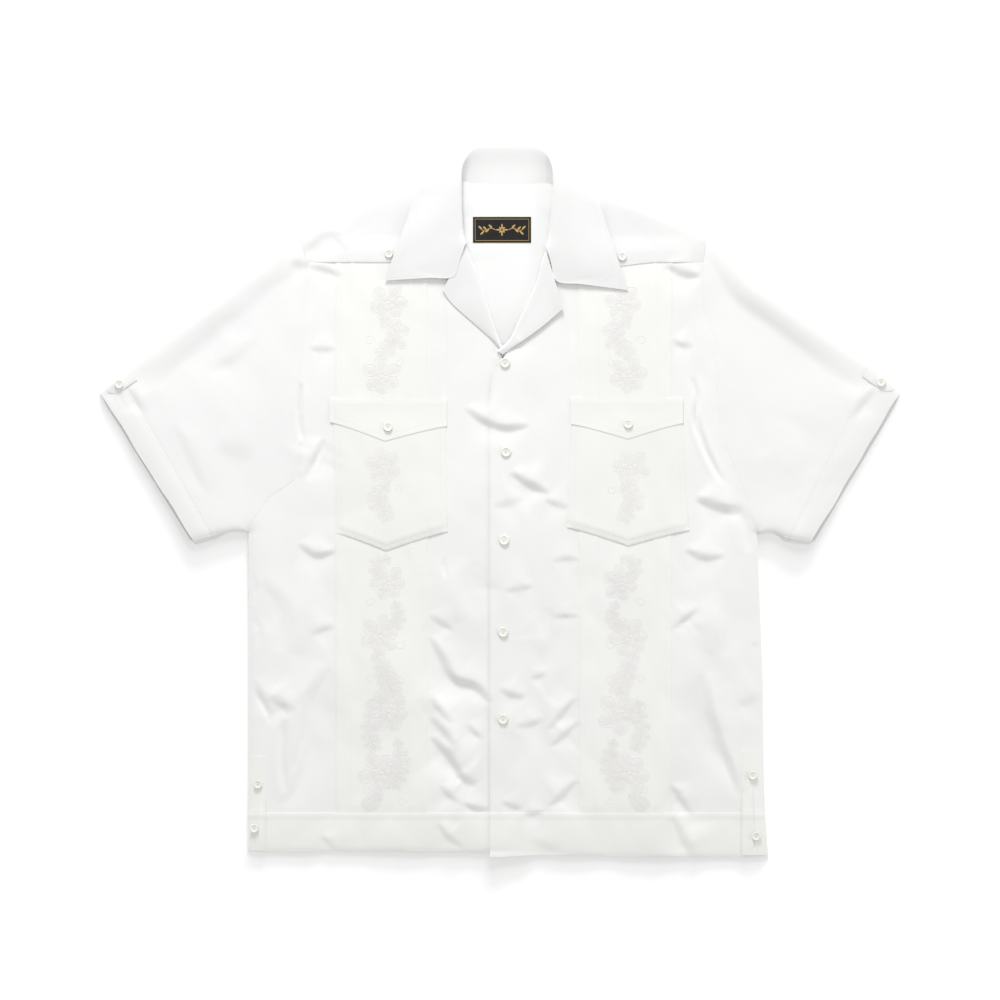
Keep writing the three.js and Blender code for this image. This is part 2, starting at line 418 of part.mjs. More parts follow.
// the yoke's neck edge rises over the collar's fall behind it
const NECK = [
  { t: 0, x: -56, y: 365 }, { t: 0.16, x: -47.5, y: 353 }, { t: 0.3, x: -31, y: 349 }, { t: 0.42, x: -14, y: 347.4 },
  { t: 0.5, x: 9, y: 346.8 }, { t: 0.6, x: 32, y: 347.4 }, { t: 0.72, x: 46, y: 349 }, { t: 0.85, x: 62, y: 347.5 }, { t: 1, x: 70, y: 356 },
];
{
  const lowL = column(BODY, 'y', BACK_YOKE_Y, 'left'), lowR = column(BODY, 'y', BACK_YOKE_Y, 'right');
  const top = [];                                      // left armhole, shoulder, neck, shoulder, right armhole
  for (const t of [0, 0.3, 0.6, 0.8]) top.push([...yokeShoulder('left', t)]);
  for (const n of NECK) top.push([n.x, n.y - (n.t === 0 || n.t === 1 ? 3.4 : 0.3)]);
  for (const t of [0.8, 0.6, 0.3, 0]) top.push([...yokeShoulder('right', t)]);
  const n = top.length - 1;
  const grid = [0, 0.2, 0.4, 0.6, 0.74, 0.86, 1].map((v) => top.map((p, i) => {
    const share = mix(i / n, (p[0] - ARM_TOP.left[0]) / (ARM_TOP.right[0] - ARM_TOP.left[0]), 0.85);
    const x = mix(mix(lowL, lowR, share), p[0], v), y = mix(BACK_YOKE_Y + GAP, p[1], v);
    return [x, y, neckLift(x, y)];
  }));
  // the first and last columns follow the armhole
  for (const [i, side] of [[0, 'left'], [n, 'right']]) {
    grid.forEach((row) => { const y = row[i][1]; if (y < YOKE_EDGE_Y) row[i][0] = column(BODY, 'y', y, side); else row[i][0] = mix(column(BODY, 'y', YOKE_EDGE_Y, side), ARM_TOP[side][0], (y - YOKE_EDGE_Y) / (ARM_TOP[side][1] - YOKE_EDGE_Y)); });
  }
  add('back_yoke', panel(grid));
  BACKYOKE.push(...grid);
}

// ---- sleeves and their bands: flattened tubes, folded along the top, seamed under the arm ---------------
function loops(top, low, topZ) {                       // one ring from its front and back layers
  const n = top.length - 1;
  const toward = (p, q, d) => { const l = Math.hypot(q[0] - p[0], q[1] - p[1]) || 1; return [p[0] + (q[0] - p[0]) / l * d, p[1] + (q[1] - p[1]) / l * d]; };
  const ends = (line, k) => (k === 0 ? line[1] : line[n - 1]);
  const layer = (line, z, cut) => line.map((p, k) => {
    const q = k === 0 || k === n ? toward(p, ends(line, k), cut) : p;
    return [q[0], q[1], typeof z === 'number' ? z : z(k, q)];
  });
  const outerEnd = (k, cut) => { const q = toward(top[k], ends(top, k), cut); return [q[0], q[1], 1.15]; };
  const outer = [outerEnd(0, 0), ...layer(low, 0, 0.9), outerEnd(n, 0), ...layer(top, (k, q) => topZ(q[0], q[1]) + WALL, 0.9).reverse()];
  const inner = [outerEnd(0, WALL), ...layer(low, WALL, 1.9), outerEnd(n, WALL), ...layer(top, (k, q) => topZ(q[0], q[1]), 1.9).reverse()];
  return { outer, inner };
}
const SLEEVEGRID = {};
for (const side of ['left', 'right']) {
  const out = SIGN[side] * GAP;
  const hole = [ARM_TOP[side], [column(BODY, 'y', YOKE_EDGE_Y, side), YOKE_EDGE_Y],
    ...[...BODY].reverse().filter((r) => r.y < YOKE_EDGE_Y && r.y >= -36).map((r) => [r[side], r.y])];
  const long = [0];
  for (let i = 1; i < hole.length; i++) long.push(long[i - 1] + Math.hypot(hole[i][0] - hole[i - 1][0], hole[i][1] - hole[i - 1][1]));
  const share = long.map((l) => l / long[long.length - 1]);
  const chord = (row, k) => [mix(row.overX, row.armX, share[k]), mix(row.overY, row.armY, share[k])];
  const rows = SLEEVE[side];
  SLEEVEGRID[side] = rows.map((row) => hole.map((p, k) => {
    const a = chord(rows[0], k), c = chord(row, k), keep = (1 - row.s) ** 1.3;
    return [c[0] + keep * (p[0] - a[0]) + out, c[1] + keep * (p[1] - a[1])];
  }));
  add(`sleeve_${side}`, tube(SLEEVEGRID[side].map((line) => loops(line, line, lie))));
  const band = SLEEVE_BAND[side];
  const rings = band.map((row, j) => {
    const top = share.map((s, k) => chord(row, k));
    const dx = row.armX - row.overX, dy = row.armY - row.overY, l = Math.hypot(dx, dy);
    const extra = j === band.length - 1 ? SLEEVE_BACK_REACH : 0;
    const nx = SIGN[side] * Math.abs(dy) / l, ny = -Math.abs(dx) / l;
    const low = top.map(([x, y], k) => { const e = extra * smooth(share[k] / 0.12) * smooth((1 - share[k]) / 0.08 + 0.4); return [x + nx * e, y + ny * e]; });
    return loops(top.map(([x, y]) => [x + out * (j === 0 ? 1.4 : 1), y]), low.map(([x, y]) => [x + out * (j === 0 ? 1.4 : 1), y]), lie);
  });
  add(`sleeve_band_${side}`, tube(rings));
}

// ---- sleeve tabs: a short strap over the band at the top of the sleeve -----------------------------------------
const TAB = {
  left: { from: [-403, 138.5], to: [-431, 119.5], half: 7 },
  right: { from: [402, 142], to: [431, 121.5], half: 7 },
};
for (const side of ['left', 'right']) {
  const { from, to, half } = TAB[side];
  const l = Math.hypot(to[0] - from[0], to[1] - from[1]), nx = -(to[1] - from[1]) / l, ny = (to[0] - from[0]) / l;
  const tip = [{ t: 0, w: 1 }, { t: 0.3, w: 1 }, { t: 0.6, w: 1 }, { t: 0.85, w: 0.8 }, { t: 1, w: 0.35 }];
  const grid = tip.map((k) => [-1, -0.4, 0.4, 1].map((s) => {
    const x = mix(from[0], to[0], k.t) + nx * s * half * k.w, y = mix(from[1], to[1], k.t) + ny * s * half * k.w;
    return [x, y, lie(x, y) + LAYER + 0.55];
  }));
  add(`sleeve_tab_${side}`, panel(grid));
}

// ---- collar ----------------------------------------------------------------------------------------------------
// Each section runs from the stand's foot over the roll and out along the fall.
function collarSection(row, gorge) {
  const v = (n) => new THREE.Vector3(row[`${n}X`], row[`${n}Y`], row[`${n}Z`]);
  const seam = v('seam'), roll = v('roll'), mid = gorge ? new THREE.Vector3(...gorge, row.midZ) : v('mid'), edge = v('edge');
  const outward = mid.clone().sub(roll), stand = seam.clone().sub(roll);
  const ends = [
    seam,
    seam.clone().lerp(roll, 0.45),
    roll.clone().addScaledVector(stand.clone().normalize(), Math.min(1.6, stand.length() * 0.3)),
    roll,
    roll.clone().addScaledVector(outward.clone().normalize(), 2.4).add(new THREE.Vector3(0, 0, gorge ? 1.2 : 0)),
    roll.clone().lerp(mid, 0.5),
    mid,
    mid.clone().lerp(edge, gorge ? 0.35 : 0.5),
    gorge ? mid.clone().lerp(edge, 0.7) : mid.clone().lerp(edge, 0.8),
    edge,
  ];
  return ends;
}
{
  const last = COLLAR.length - 1;
  const coarse = COLLAR.map((row, i) => collarSection(row, i === 0 ? GORGE.left : i === last ? GORGE.right : null));
  // front stations bulge the roll up, back stations bulge it out behind the neck
  coarse.forEach((section, i) => {
    const middle = Math.abs(i - last / 2) / (last / 2);
    const up = smooth((middle - 0.3) / 0.3), out = 1 - up;
    section[4].z += 1.7 * up; section[2].z -= 0.9 * up;
    section[5].z += 1.6 * up;
    section[4].z -= 2.2 * out; section[4].y += 1.2 * out;
    section[2].z += 0.7 * out;
  });
  const grid = [];
  for (let c = 0; c < coarse[0].length; c++) {
    const rail = new THREE.CatmullRomCurve3(coarse.map((s) => s[c]), false, 'centripetal');
    for (let i = 0; i <= last; i++) for (const h of i < last ? [0, 0.5] : [0]) {
      const index = i * 2 + (h ? 1 : 0);
      (grid[index] = grid[index] || [])[c] = rail.getPoint((i + h) / last).toArray();
    }
  }
  add('collar', shell(grid, COLLAR_WALL));
}

// ---- lapels: the fronts' facings turned out over a soft roll -----------------------------------------------------
const LAPEL_PROFILE = [
  { out: 1.65, share: 0, z: 0.6 }, { out: 0.5, share: 0, z: 1.0 }, { out: 0.2, share: 0, z: 2.1 }, { out: 2.2, share: 0, z: 3.1 },
  { out: 0, share: 0.4, z: 3.0 }, { out: 0, share: 0.7, z: 2.6 }, { out: 0, share: 1, z: 2.1 },
];
for (const side of ['left', 'right']) {
  const grid = LAPEL[side].map((row) => {
    const dx = row.edgeX - row.rollX, dy = row.edgeY - row.rollY, l = Math.hypot(dx, dy);
    return LAPEL_PROFILE.map((k) => {
      const d = k.share ? k.share * l : k.out;
      const x = row.rollX + dx / l * d, y = row.rollY + dy / l * d;
      return [x, y, lie(x, y) + k.z + (side === 'right' && row.rollY < 185 ? 0.4 : 0)];
    });
  });
  add(`lapel_${side}`, shell(grid, COLLAR_WALL));
}

// ---- buttoned plackets at the side vents --------------------------------------------------------------------------------
const VENT = { left: { x0: -275.6, x1: -257.7, top: -281, low: -385.0 }, right: { x0: 265.9, x1: 288.6, top: -274.5, low: -390.0 } };
const onFront = (side, x, y) => (y > HEM_SEAM_Y ? heightOn(FRONT[side], x, y) : heightOn(HEMBAND[side], x, y));
for (const side of ['left', 'right']) {
  const v = VENT[side];
  const ys = [v.low, -364, HEM_SEAM_Y, -320, -300, v.top];
  const grid = ys.map((y) => [0, 0.5, 1].map((s) => {
    const lean = side === 'right' ? mix(0, 3.4, smooth((-300 - y) / 90)) * s : 0;
    const x = mix(v.x0, v.x1, s) + lean;
    return [x, y, Math.max(onFront(side, x, y), onFront(side, x, Math.min(y + 3, -290)), onFront(side, x, Math.max(y - 3, v.low))) + LAYER];
  }));
  add(`vent_placket_${side}`, panel(grid));
}

// ---- woven label inside the back neck -------------------------------------------------------------------------------------
{
  const rows = [283.4, 298, 311.8], cols = [-30, -10, 12, 33.8];
  add('neck_label', panel(rows.map((y) => cols.map((x) => [x, y, heightOn(BACKYOKE, x, y) + LAYER + 0.1]))), woven());
}

// ---- buttons --------------------------------------------------------------------------------------------------------------------
function button(name, x, y, radius, under) {
  const t = BUTTON.thick;
  const profile = [[0, 0], [radius * 0.84, t * 0.1], [radius, t * 0.45], [radius * 0.93, t * 0.93], [radius * 0.76, t], [radius * 0.6, t * 0.78], [0, t * 0.72]];
  const geometry = new THREE.LatheGeometry(profile.map(([r, h]) => new THREE.Vector2(r, h)), BUTTON.sides);
  geometry.rotateX(Math.PI / 2);
  const mesh = add(name, geometry, pearl());
  let z = -Infinity;
  for (let k = 0; k < 8; k++) for (const r of [0, radius * 0.5, radius]) {
    z = Math.max(z, under(x + r * Math.cos(k * Math.PI / 4), y + r * Math.sin(k * Math.PI / 4)));
  }
  mesh.position.set(x, y, z + GAP);
}
const frontButtons = [{ x: 5.2, y: 151.2 }, { x: 6.3, y: 53.4 }, { x: 4.1, y: -43.5 }, { x: 3.0, y: -144.7 }, { x: 3.0, y: -240.4 }];
frontButtons.forEach((b, i) => button(`button_front_${i + 1}`, b.x, b.y, BUTTON.front, (x, y) => heightOn(FRONT.right, x, y) + WALL));
const tuckTop = LAYER + WALL + TUCK_RISE + GAP;
button('button_flap_left', -123.5, 80.9, BUTTON.flap, (x, y) => heightOn(FRONT.left, x, y) + tuckTop + LAYER + 0.1 + WALL);
button('button_flap_right', 140.5, 84.2, BUTTON.flap, (x, y) => heightOn(FRONT.right, x, y) + tuckTop + LAYER + 0.1 + WALL);
button('button_yoke_left', -122.4, 271.2, BUTTON.yoke, (x, y) => lie(x, y) + YOKE_RAISE + WALL);
button('button_yoke_right', 134.0, 268.2, BUTTON.yoke, (x, y) => lie(x, y) + YOKE_RAISE + WALL);
button('button_sleeve_left', -419, 128, BUTTON.sleeve, (x, y) => lie(x, y) + LAYER + 0.6 + WALL);
button('button_sleeve_right', 418.5, 130, BUTTON.sleeve, (x, y) => lie(x, y) + LAYER + 0.6 + WALL);
const onPlacket = (side) => (x, y) => onFront(side, x, y) + LAYER + WALL + 0.1;
button('button_vent_left_upper', -266.5, -311.9, BUTTON.vent, onPlacket('left'));
button('button_vent_left_lower', -270.5, -360.3, BUTTON.vent, onPlacket('left'));
button('button_vent_right_upper', 277.5, -302.0, BUTTON.vent, onPlacket('right'));
button('button_vent_right_lower', 281.3, -369.1, BUTTON.vent, onPlacket('right'));

export default shirt;
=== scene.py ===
"""Short-sleeved camp shirt of guayabera cut, laid flat with its front up.

Lengths in the tables are millimetres in the model's own frame: +X to the viewer's right, +Y towards the
collar, +Z up.  Every piece of cloth is a thin shell whose height comes from one map of the laid front.
"""

import math

import bpy
import numpy as np
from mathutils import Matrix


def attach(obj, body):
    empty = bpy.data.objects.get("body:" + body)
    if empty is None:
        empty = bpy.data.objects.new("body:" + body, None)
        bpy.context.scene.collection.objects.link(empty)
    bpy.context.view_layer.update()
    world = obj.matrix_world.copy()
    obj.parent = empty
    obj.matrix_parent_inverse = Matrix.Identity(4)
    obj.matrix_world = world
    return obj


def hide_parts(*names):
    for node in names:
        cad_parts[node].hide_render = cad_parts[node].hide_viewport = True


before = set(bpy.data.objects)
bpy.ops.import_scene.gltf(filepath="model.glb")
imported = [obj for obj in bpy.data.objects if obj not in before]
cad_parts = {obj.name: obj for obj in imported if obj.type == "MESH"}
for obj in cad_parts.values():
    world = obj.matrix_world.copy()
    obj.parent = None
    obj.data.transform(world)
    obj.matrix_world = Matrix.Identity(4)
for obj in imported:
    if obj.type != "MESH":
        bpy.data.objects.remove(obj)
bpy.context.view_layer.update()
MM = 0.001

# ---- sizes ------------------------------------------------------------------------------------
CLOTH = 0.45          # one layer of the shirt's cloth
CELL = 2.5            # mesh spacing on the large panels
HEM_SEAM = -343.0     # seam between body and hem band
YOKE_EDGE = 262.0     # front edge of the yoke
YOKE_TUCK = 270.0     # the front ends here, under the yoke
BACK_YOKE = 238.0     # seam between back and back yoke
BREAK = 163.0         # where the lapels begin to turn out
STRIP_OVER = 0.56     # tuck strip's underside above the front's underside
POCKET_OVER = 1.95    # pocket's
FLAP_OVER = 2.75      # pocket flap's
YOKE_OVER = 1.85      # yoke's front edge

# ---- outline, one row for each section --------------------------------------------------------
# y, left edge, right edge, centre edge of the left front, centre edge of the right front
BODY = np.array([
    (-343, -277.3, 291.3, 18.5, -11.3), (-298, -277.1, 289.8, 18.5, -11.3), (-250, -277.0, 289.2, 18.5, -11.3),
    (-200, -276.9, 288.6, 18.5, -11.3), (-145, -276.7, 286.6, 18.5, -11.3), (-90, -276.5, 284.4, 18.5, -11.3),
    (-36, -276.4, 281.8, 18.5, -11.3), (-12, -264.0, 273.0, 18.5, -11.3), (3, -253.0, 269.5, 18.5, -11.3),
    (25, -224.0, 261.0, 18.5, -11.3), (72, -221.4, 243.5, 18.5, -11.3), (112, -221.4, 240.5, 17.5, -11.0),
    (137, -220.4, 238.8, 11.0, -8.5), (163, -219.0, 237.0, -0.5, 7.5), (205, -216.0, 226.0, -13.0, 26.2),
    (245, -213.5, 223.2, -25.7, 43.6), (262, -213.0, 223.0, -32.5, 47.0), (270, -213.8, 223.8, -35.3, 50.0),
], float)
ARM_TOP = {"left": (-220.3, 295.0), "right": (227.4, 293.0)}
# x, front hem, back hem
HEM = np.array([(-277.5, -386.0, -383.5), (-184, -384.6, -382.5), (-11.4, -385.8, -383.5), (18.5, -386.0, -385.0),
                (130, -391.0, -388.0), (295.2, -391.9, -389.5)], float)
HEM_OVER = -391.6
HEM_SIDE = {"left": -277.6, "right": 295.0}
# share of the length, folded top edge x and y, underarm x and y
SLEEVE = {
    "left": np.array([(0, -220.3, 295.0, -276.4, -36.0), (.12, -247.8, 275.6, -282.0, -35.2),
                      (.28, -280.0, 250.5, -289.0, -34.7), (.46, -314.0, 224.0, -297.0, -35.3),
                      (.64, -349.5, 196.0, -304.0, -36.2), (.82, -385.0, 167.5, -310.0, -37.2),
                      (1, -419.0, 138.6, -316.5, -38.8)], float),
    "right": np.array([(0, 227.4, 293.0, 281.8, -36.0), (.12, 257.0, 269.0, 287.0, -37.0),
                       (.28, 287.0, 244.8, 293.0, -36.4), (.46, 318.5, 219.0, 299.0, -36.0),
                       (.64, 350.0, 193.8, 305.0, -37.2), (.82, 383.0, 168.8, 311.0, -39.6),
                       (1, 414.5, 146.0, 316.5, -41.5)], float),
}
BAND = {
    "left": np.array([(0, -419.3, 138.4, -316.8, -38.9), (.5, -431.5, 129.2, -326.5, -41.6),
                      (1, -439.6, 119.0, -336.9, -44.8)], float),
    "right": np.array([(0, 414.8, 145.8, 316.8, -41.6), (.5, 428.7, 133.0, 329.5, -43.5),
                       (1, 439.6, 119.0, 341.8, -44.8)], float),
}
STRIP = {"left": (-181.8, -79.5), "right": (85.5, 190.0)}
TUCK_AT = (0.04, 0.19, 0.81, 0.96)    # pin tucks, as shares of a strip's width
COLUMN_X = {"left": -126.5, "right": 138.0}   # middle of the stitched column
POCKET = {
    "left": dict(top=104.0, x_top=(-184.5, -59.8), x_low=(-180.0, -57.5), low=(-35.5, -33.8), point=(-125.7, -55.0)),
    "right": dict(top=104.0, x_top=(78.5, 199.0), x_low=(73.4, 208.0), low=(-29.2, -32.5), point=(140.5, -49.6)),
}
FLAP = {
    "left": dict(top=112.0, x=(-187.3, -58.6), low=(86.4, 82.0), point=(-126.8, 65.5)),
    "right": dict(top=112.4, x=(77.8, 201.0), low=(84.2, 85.2), point=(140.5, 67.7)),
}
YOKE = {"left": dict(low=-50.5, high=(-56.0, 365.0)), "right": dict(low=62.0, high=(70.0, 356.0))}
VENT = {"left": dict(x0=-275.6, x1=-257.7, top=-281.0, low=-385.0), "right": dict(x0=265.9, x1=288.6, top=-274.5, low=-390.0)}
TAB = {"left": ((-403, 138.5), (-431, 119.5)), "right": ((402, 142), (431, 121.5))}
# collar, from the left front end round the neck: foot of the stand, roll, middle and edge of the fall
COLLAR = np.array([
    (-42.5, 285.5, 4.7, -37.5, 284, 7.0, -86, 243.6, 9.3, -126.6, 241.6, 8.8),
    (-47.5, 295, 4.7, -40.2, 294, 7.2, -86, 259, 9.5, -121.4, 257, 8.8),
    (-50.5, 310, 4.8, -41.8, 310, 7.6, -82, 283, 9.6, -113.5, 279.5, 8.8),
    (-52, 329, 4.8, -42.4, 330, 8.2, -77, 309, 9.6, -104, 306, 7.9),
    (-51.5, 346, 4.2, -42.6, 349, 8.8, -72, 334, 8.8, -95.6, 330.5, 7.0),
    (-47, 354.5, 3.2, -42.0, 366, 9.6, -68, 355, 7.4, -89.6, 348, 5.6),
    (-39, 353.5, 2.4, -36.5, 379, 9.6, -61.5, 374.5, 3.4, -86.0, 357.6, 2.4),
    (-30, 350.5, 2.1, -30.0, 387.6, 8.4, -49, 373, 0.9, -70, 352, 0.5),
    (-17, 348.6, 1.9, -17.0, 390.7, 6.6, -27, 366, 0.5, -38, 343.5, 0.5),
    (10, 348, 1.8, 10, 391.2, 6.0, 10, 364, 0.5, 10, 341, 0.5),
    (33, 348.6, 1.9, 33, 390.6, 6.6, 44, 364, 0.5, 55, 341, 0.5),
    (45, 350.5, 2.1, 45, 387.0, 8.4, 64, 367, 0.9, 87, 343, 0.5),
    (54, 352, 2.4, 52.5, 379, 9.6, 76, 368.5, 3.8, 104.2, 343.2, 3.2),
    (62, 349, 3.2, 57.2, 364, 9.6, 84, 347, 7.8, 108, 331, 6.5),
    (67, 338, 4.2, 58, 346, 8.8, 88, 325, 8.9, 113, 315, 7.4),
    (67, 323, 4.8, 56.8, 328, 8.2, 92, 300, 9.6, 119.4, 295.5, 7.9),
    (65, 306, 4.8, 55.6, 309, 7.6, 95, 274, 9.6, 127, 271, 8.8),
    (61, 290, 4.7, 53.4, 292, 7.2, 98, 252, 9.5, 134.6, 249, 8.8),
    (56, 279, 4.7, 50.4, 279.5, 7.0, 99, 236.8, 9.3, 140.5, 231.0, 8.8),
], float)
GORGE = {"left": (-50.9, 246.2), "right": (61.3, 241.5)}
# lapels from the gorge down to the break: roll x and y, edge x and y
LAPEL = {
    "left": np.array([(-38.0, 280, -63.0, 231.5), (-31.0, 264, -58.5, 223.5), (-23.4, 245, -51.0, 214.6),
                      (-15.0, 219, -37.5, 202.5), (-6.5, 193, -21.5, 188.5), (0.5, 172, -8.0, 176.0),
                      (3.6, 164, -1.5, 168.2)], float),
    "right": np.array([(50.2, 275, 69.0, 211.0), (44.6, 260, 64.0, 206.6), (41.4, 245, 56.5, 200.0),
                       (32.0, 222, 44.5, 190.0), (20.0, 197, 29.5, 179.0), (9.5, 176, 17.5, 171.0),
                       (-3.4, 164.5, 2.6, 160.6)], float),
}
BUTTONS = {   # x, y, radius
    "button_front_1": (5.2, 151.2, 5.5), "button_front_2": (6.3, 53.4, 5.5), "button_front_3": (4.1, -43.5, 5.5),
    "button_front_4": (3.0, -144.7, 5.5), "button_front_5": (3.0, -240.4, 5.5),
    "button_flap_left": (-123.5, 80.9, 5.0), "button_flap_right": (140.5, 84.2, 5.0),
    "button_yoke_left": (-122.4, 271.2, 4.6), "button_yoke_right": (134.0, 268.2, 4.6),
    "button_sleeve_left": (-419, 128, 4.8), "button_sleeve_right": (418.5, 130, 4.8),
    "button_vent_left_upper": (-266.5, -311.9, 4.8), "button_vent_left_lower": (-270.5, -360.3, 4.8),
    "button_vent_right_upper": (277.5, -302.0, 4.8), "button_vent_right_lower": (281.3, -369.1, 4.8),
}

# ---- creases of the laid front: points along each, width, height --------------------------------
# Each is a soft ridge on the collar's side and a trough beyond it, strongest in the middle of its length.
CREASES = [
    ([(-215, 273), (-200, 287), (-189, 296)], 4, 1.1), ([(-186, 296), (-178, 287), (-171, 274)], 4, 1.0),
    ([(-230, 263), (-220, 260), (-210, 259)], 3.5, 1.3), ([(-211, 257), (-193, 254), (-174, 246)], 2.8, 1.0),
    ([(-209, 167), (-194, 166), (-180, 167)], 2.4, 0.9),
    ([(-226, 262), (-275, 225), (-325, 184), (-385, 133)], 14, 2.4),
    ([(-321, 146), (-295, 155), (-270, 177)], 7, 1.0), ([(-314, 61), (-286, 53), (-270, 50)], 10, 0.8),
    ([(-357, 83), (-341, 50), (-323, 9)], 5, 1.0), ([(-409, 124), (-400, 111), (-391, 96)], 3, 1.4),
    ([(-438, 117), (-428, 123), (-418, 128)], 4, 1.6), ([(-216, 25), (-207, 41), (-195, 67)], 4.5, 1.7),
    ([(-221, -48), (-203, -60), (-181, -56)], 3.5, 1.9), ([(-208, -148), (-196, -142), (-181, -138)], 3.0, 1.1),
    ([(-269, -87), (-247, -103), (-233, -136), (-236, -167)], 9, 1.6),
    ([(-272, -197), (-261, -215), (-252, -235)], 3.6, 2.0), ([(-255, -216), (-242, -222), (-229, -233)], 5, 1.9),
    ([(-191, -182), (-210, -219), (-216, -258), (-222, -296), (-239, -334)], 6.5, 2.2),
    ([(-197, -368), (-188, -377), (-181, -386)], 2.6, 1.1),
    ([(-77, -150), (-65, -171), (-50, -196), (-28, -204), (-10, -222)], 4.0, 2.8),
    ([(-76, -217), (-65, -232), (-52, -245)], 2.8, 1.5), ([(-76, -238), (-64, -251), (-50, -269)], 2.8, 1.6),
    ([(-76, -259), (-55, -283), (-40, -309)], 4.2, 2.9), ([(-46, -300), (-37, -307), (-26, -312)], 4.0, 1.7),
    ([(-66, -313), (-56, -324), (-44, -333)], 2.8, 1.4), ([(-42, -332), (-28, -338), (-11, -340)], 2.6, 1.4),
    ([(-68, -354), (-59, -368), (-41, -381)], 3, 1.5), ([(-37, -245), (-29, -254), (-19, -263)], 2.5, 1.1),
    ([(-78, -126), (-66, -134), (-52, -142)], 2.6, 1.1), ([(-38, 101), (-17, 87), (4, 80), (32, 82)], 3.8, 2.1),
    ([(12, 31), (28, 20), (53, 8)], 3.8, 2.4), ([(49, 1), (61, -4), (75, -8)], 3, 1.1),
    ([(-7, -6), (9, -3), (25, 3)], 4, 1.0), ([(-1, -207), (13, -214), (28, -216)], 3.0, 1.5),
    ([(34, -197), (42, -193), (50, -190)], 2.6, 1.0), ([(17, -248), (33, -246), (48, -240)], 2.8, 1.1),
    ([(2, -331), (13, -336), (25, -339)], 2.6, 1.2), ([(25, -344), (36, -344), (48, -342)], 2.6, 1.1),
    ([(83, -216), (68, -234), (53, -252)], 2.8, 1.7), ([(86, -243), (70, -258), (55, -271)], 2.8, 1.4),
    ([(84, -307), (69, -323), (54, -336)], 3.2, 2.0), ([(6, -100), (20, -97), (36, -94)], 3, 0.9),
    ([(57, -128), (69, -127), (86, -127)], 1.8, 0.8), ([(57, -67), (71, -64), (87, -65)], 2.4, 0.9),
    ([(182, 259), (202, 249), (220, 247)], 4.2, 2.1), ([(189, 177), (200, 171), (212, 170)], 3.2, 1.1),
    ([(230, 287), (244, 256), (264, 226), (304, 196), (364, 153), (409, 128)], 12, 2.9),
    ([(215, 2), (234, -5), (264, -13)], 5, 3.1), ([(203, -54), (224, -63), (247, -61)], 3.4, 1.9),
    ([(218, -118), (204, -129), (191, -140)], 3, 1.5), ([(388, 91), (398, 107), (412, 123)], 3, 1.5),
    ([(224, -190), (231, -236), (241, -266), (251, -288), (263, -323)], 5.5, 2.7),
    ([(188, -313), (198, -327), (210, -346)], 3, 2.0), ([(191, -347), (201, -371), (214, -394)], 5, 2.5),
    ([(275, -157), (282, -158), (292, -156)], 3, 1.0), ([(262, -224), (277, -219), (292, -213)], 6, 1.3),
    ([(33, -373), (49, -380), (68, -382)], 5, 0.9), ([(-165, -170), (-163, -208), (-166, -241)], 4, 0.5),
    ([(-33, -65), (-42, -98), (-33, -131)], 9, 1.1), ([(44, -120), (53, -153), (44, -184)], 10, 1.1),
    ([(237, -98), (244, -137), (240, -170)], 8, 1.2), ([(314, 91), (330, 53), (321, 9)], 12, 1.0),
    ([(379, 50), (358, 23), (343, -10)], 9, 0.8), ([(-84, -214), (-58, -262), (-34, -312)], 9, 1.9),
]
# narrow valleys, pressed in along the armholes and sides
VALLEYS = [
    ([(-219, 128), (-221, 98), (-219, 66)], 2.3, 2.6), ([(-63, 230), (-61, 177), (-62, 112)], 2.2, 0.8),
    ([(-273, -81), (-270, -97), (-272, -114)], 3, 1.5), ([(-270, -130), (-265, -146), (-268, -162)], 3, 1.4),
    ([(-238, -241), (-240, -280), (-237, -320)], 3.6, 1.7), ([(-61, -63), (-62, -73), (-60, -84)], 2, 1.0),
    ([(211, 135), (216, 114), (215, 89), (224, 60), (234, 38), (245, 19)], 2.7, 3.3),
    ([(258, -4), (269, -27), (276, -57)], 6, 2.3), ([(227, -208), (235, -248), (246, -281), (257, -314)], 3.0, 1.3),
    ([(-216, -219), (-218, -258), (-227, -296)], 3.0, 0.9), ([(83, 228), (81, 196), (83, 150)], 2.6, 0.5),
    ([(-196, 67), (-200, 50), (-208, 34)], 2.5, 1.1), ([(-272, -208), (-260, -226), (-253, -244)], 2.5, 1.2),
]
# creases of the back, seen from below
BACK_CREASES = [
    ([(-190, 170), (-120, 120), (-60, 95)], 12, 1.0), ([(-240, 40), (-200, -20), (-185, -90)], 11, 1.0),
    ([(-150, -40), (-90, -95), (-60, -160)], 10, 0.9), ([(-230, -170), (-190, -240), (-175, -310)], 10, 1.1),
    ([(-80, -230), (-30, -275), (-10, -325)], 9, 0.9), ([(0, 180), (20, 110), (10, 40)], 12, 0.8),
    ([(60, 60), (95, -10), (100, -90)], 10, 0.9), ([(180, 150), (140, 95), (125, 30)], 12, 1.0),
    ([(230, 0), (200, -60), (190, -130)], 11, 1.0), ([(60, -150), (40, -220), (55, -290)], 9, 0.9),
    ([(150, -180), (180, -240), (205, -320)], 10, 1.1), ([(240, -120), (225, -200), (240, -260)], 9, 0.8),
    ([(-130, 290), (-60, 262), (10, 268)], 11, 0.7), ([(150, 285), (90, 262), (40, 258)], 11, 0.7),
    ([(-380, 130), (-330, 120), (-280, 80)], 10, 0.8), ([(370, 110), (330, 60), (300, 20)], 10, 0.8),
]


# ---- arithmetic -----------------------------------------------------------------------------------
def mix(a, b, t):
    return a + (b - a) * t


def smooth(t):
    t = np.clip(t, 0.0, 1.0)
    return t * t * (3 - 2 * t)


